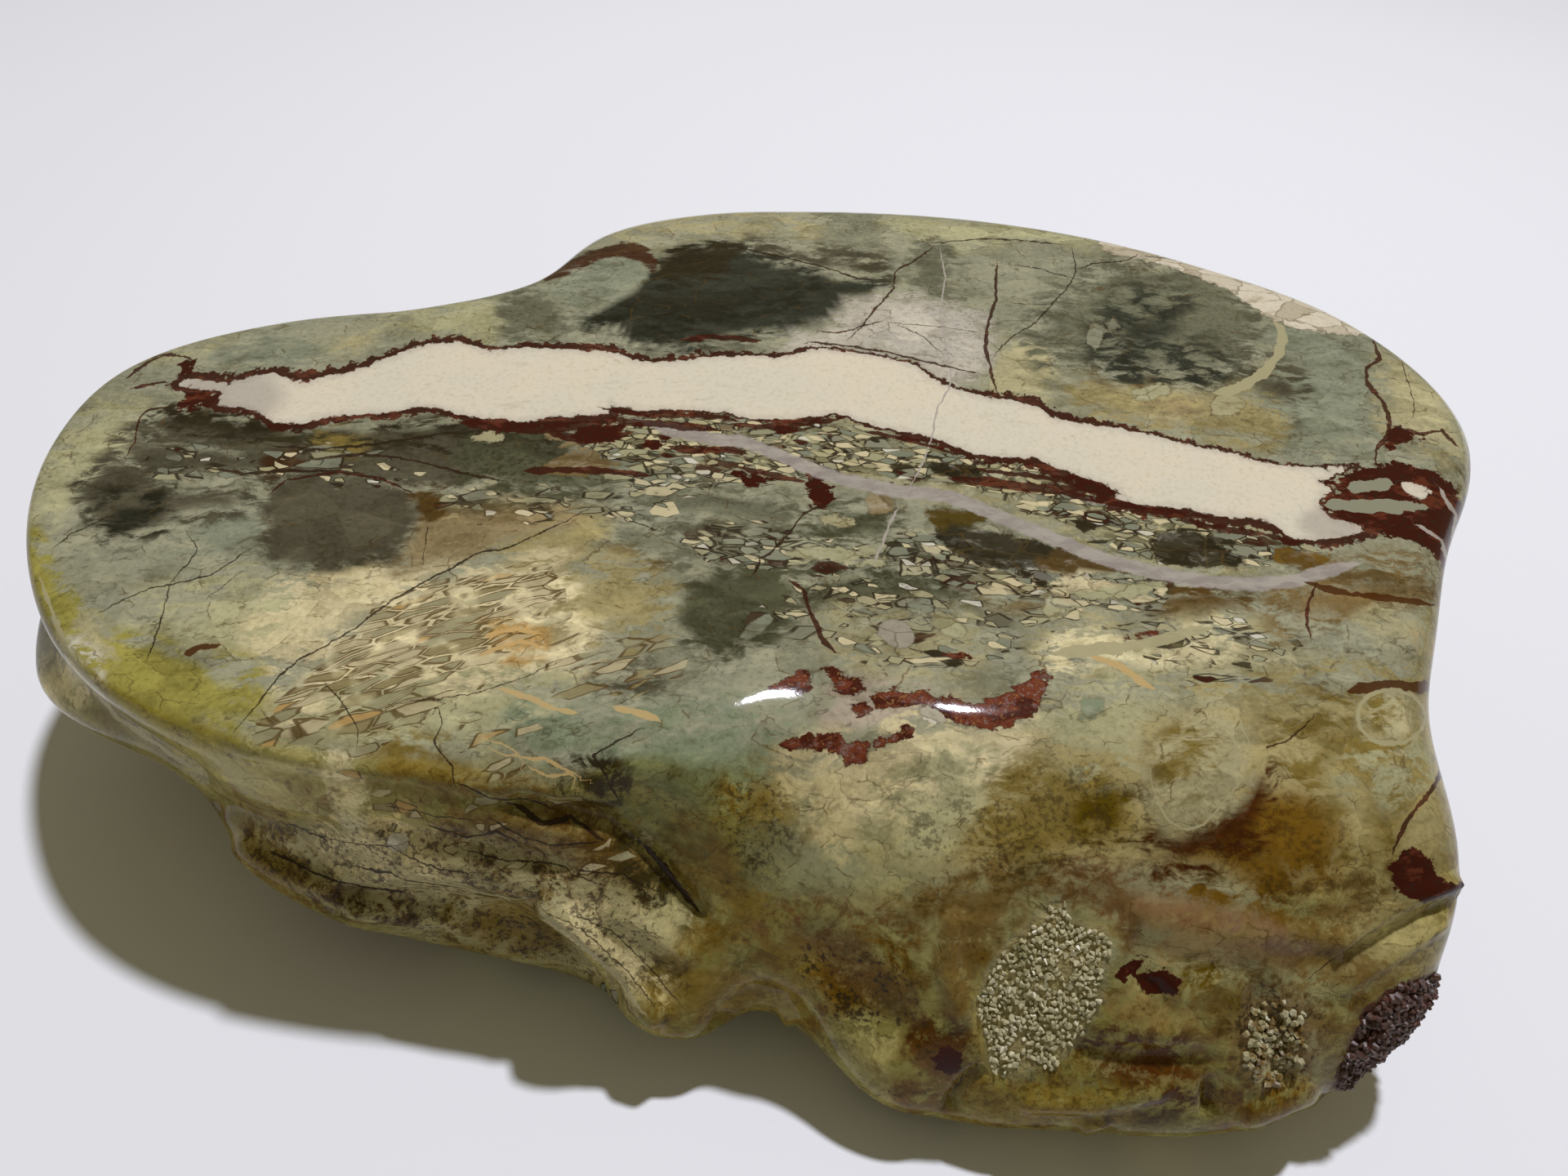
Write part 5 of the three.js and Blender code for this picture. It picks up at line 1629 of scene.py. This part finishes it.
def sow(stone, name, outline, material, sizes):
    """Sows grains over a patch of the stone, as one plain mesh that rides with it."""
    piece = stone_patch(stone, outline, name)
    tree = bpy.data.node_groups.get("sown grains") or grain_tree()
    sowing = piece.modifiers.new("sown grains", "NODES")
    sowing.node_group = tree
    given = {**sizes, "Material": material}
    for item in tree.interface.items_tree:
        if item.in_out == "INPUT" and item.name in given:
            sowing[item.identifier] = given[item.name]
    graph = bpy.context.evaluated_depsgraph_get()
    mesh = bpy.data.meshes.new_from_object(piece.evaluated_get(graph))
    mesh.name = name
    piece.modifiers.remove(sowing)
    piece.data = mesh
    if len(mesh.polygons) == 0:
        raise RuntimeError("no grains on " + name)
    mesh.materials.clear()
    mesh.materials.append(material)
    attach(piece, "root")
    return piece


class OBJECT_OT_thunderegg_grains(bpy.types.Operator):
    """Sows the quartz points, the crust of the knob and the crumbs of the weathered pocket"""

    bl_idname = "object.thunderegg_grains"
    bl_label = "Crystals and grains"

    def execute(self, context):
        colours, sizes = context.scene.thunderegg_colours, context.scene.thunderegg_sizes
        stone = context.scene.objects["thunderegg_stone"]
        crystal = sizes.crystal_size
        sow(stone, "quartz_druse", CRYSTAL_PATCH, grain_finish("quartz_druse", colours), {
            "Spacing": sizes.crystal_spacing, "Width": crystal, "Height": 0.6 * crystal, "Flat top": 0.2,
            "Tilt": 0.9, "Gaps": 0.36, "Sides": 6, "Seed": 3,
        })
        sow(stone, "knob_crust", KNOB_PATCH, grain_finish("weathered_ironstone", colours), {
            "Spacing": 0.6 * MM, "Width": 1.3 * MM, "Height": 0.6 * MM, "Flat top": 0.45,
            "Tilt": 0.5, "Gaps": 0.25, "Sides": 7, "Seed": 5,
        })
        sow(stone, "pocket_crumbs", CRUMB_PATCH, grain_finish("weathered_chalcedony", colours), {
            "Spacing": 0.6 * MM, "Width": 1.2 * MM, "Height": 0.7 * MM, "Flat top": 0.6,
            "Tilt": 0.6, "Gaps": 0.42, "Sides": 5, "Seed": 8,
        })
        return {"FINISHED"}


# The stage


def floor_paint(colour):
    """Matt paint, rolled on. It gives the eye an even, pale ground with no gloss."""
    material, tree, place = new_material("rolled_matt_paint")
    stipple = add(tree, NOISE, {"Vector": place, "Scale": 1 / 1.2, "Detail": 1.0})
    bump = add(tree, "ShaderNodeBump", {"Height": stipple, "Strength": 0.15, "Distance": 0.1 * MM})
    surface = add(
        tree, "ShaderNodeBsdfPrincipled", {"Base Color": (*colour, 1), "Roughness": 0.85, "Normal": bump}
    )
    add(tree, "ShaderNodeOutputMaterial", {"Surface": surface})
    return material


def lay_floor(scene, stage):
    """A square of painted floor under the stone."""
    half = stage.floor_width / 2
    mesh = bpy.data.meshes.new("floor")
    corners = [(-half, -half, 0), (half, -half, 0), (half, half, 0), (-half, half, 0)]
    mesh.from_pydata(corners, [], [(0, 1, 2, 3)])
    mesh.materials.append(floor_paint(stage.floor_colour))
    floor = bpy.data.objects.new("floor", mesh)
    scene.collection.objects.link(floor)


def hang_lamp(scene, stage):
    """One round lamp high behind the stone."""
    lamp = bpy.data.lights.new("lamp", "AREA")
    lamp.shape = "DISK"
    lamp.size = stage.lamp_size
    lamp.energy = stage.lamp_power
    lamp.color = stage.lamp_colour
    holder = bpy.data.objects.new("lamp", lamp)
    bearing, rise = stage.lamp_direction, stage.lamp_elevation
    level = math.cos(rise)
    towards = Vector((math.cos(bearing) * level, math.sin(bearing) * level, math.sin(rise)))
    holder.location = towards * stage.lamp_distance
    holder.rotation_euler = towards.to_track_quat("Z", "Y").to_euler()
    scene.collection.objects.link(holder)


def light_room(scene, stage):
    """Even light from the room all round."""
    world = bpy.data.worlds.new("room")
    world.use_nodes = True
    tree = world.node_tree
    tree.nodes.clear()
    colour, strength = (*stage.room_colour, 1), stage.room_light
    room = add(tree, "ShaderNodeBackground", {"Color": colour, "Strength": strength})
    add(tree, "ShaderNodeOutputWorld", {"Surface": room})
    scene.world = world


def set_camera(scene, stage):
    """The camera that took the photograph."""
    right, up, back = view_axes(stage.elevation, stage.roll)
    lens = bpy.data.cameras.new("camera")
    lens.sensor_width = 36
    lens.lens = lens.sensor_width * FOCAL_PIXELS / PHOTO_SIZE[0]
    lens.clip_start = 0.01
    camera = bpy.data.objects.new("camera", lens)
    turned = Matrix((right, up, back)).transposed().to_4x4()
    camera.matrix_world = Matrix.Translation(VIEW_AIM + back * stage.distance) @ turned
    scene.collection.objects.link(camera)
    scene.camera = camera


class OBJECT_OT_thunderegg_stage(bpy.types.Operator):
    """Sets the floor, the lamp, the room's light and the camera"""

    bl_idname = "object.thunderegg_stage"
    bl_label = "Stage"

    def execute(self, context):
        scene = context.scene
        for set_up in (lay_floor, hang_lamp, light_room, set_camera):
            set_up(scene, scene.thunderegg_stage)
        scene.view_settings.view_transform = "Standard"
        return {"FINISHED"}


class VIEW3D_PT_thunderegg(bpy.types.Panel):
    """Lists the stone's settings and the steps that build it"""

    bl_idname = "VIEW3D_PT_thunderegg"
    bl_label = "Thunderegg"
    bl_space_type = "VIEW_3D"
    bl_region_type = "UI"
    bl_category = "Thunderegg"

    def draw(self, context):
        layout = self.layout
        for operator in OPERATORS:
            layout.operator(operator.bl_idname)
        scene = context.scene
        for group in (scene.thunderegg_sizes, scene.thunderegg_stage, scene.thunderegg_colours):
            box = layout.box()
            for key in group.__annotations__:
                box.prop(group, key)


OPERATORS = (OBJECT_OT_thunderegg_stage, OBJECT_OT_thunderegg_stone, OBJECT_OT_thunderegg_grains)
CLASSES = (StoneColours, StoneSizes, StageSettings, *OPERATORS, VIEW3D_PT_thunderegg)


def register():
    """Makes the settings, the steps and the panel known to Blender."""
    for cls in CLASSES:
        bpy.utils.register_class(cls)
    bpy.types.Scene.thunderegg_colours = bpy.props.PointerProperty(type=StoneColours)
    bpy.types.Scene.thunderegg_sizes = bpy.props.PointerProperty(type=StoneSizes)
    bpy.types.Scene.thunderegg_stage = bpy.props.PointerProperty(type=StageSettings)


def unregister():
    """Takes them away again."""
    del bpy.types.Scene.thunderegg_stage
    del bpy.types.Scene.thunderegg_sizes
    del bpy.types.Scene.thunderegg_colours
    for cls in reversed(CLASSES):
        bpy.utils.unregister_class(cls)


def main():
    """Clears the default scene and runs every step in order."""
    for thing in list(bpy.data.objects):
        if thing.name in ("Cube", "Light", "Camera"):
            bpy.data.objects.remove(thing)
    register()
    bpy.ops.object.thunderegg_stage()
    bpy.ops.object.thunderegg_stone()
    bpy.ops.object.thunderegg_grains()


if __name__ == "__main__":
    main()
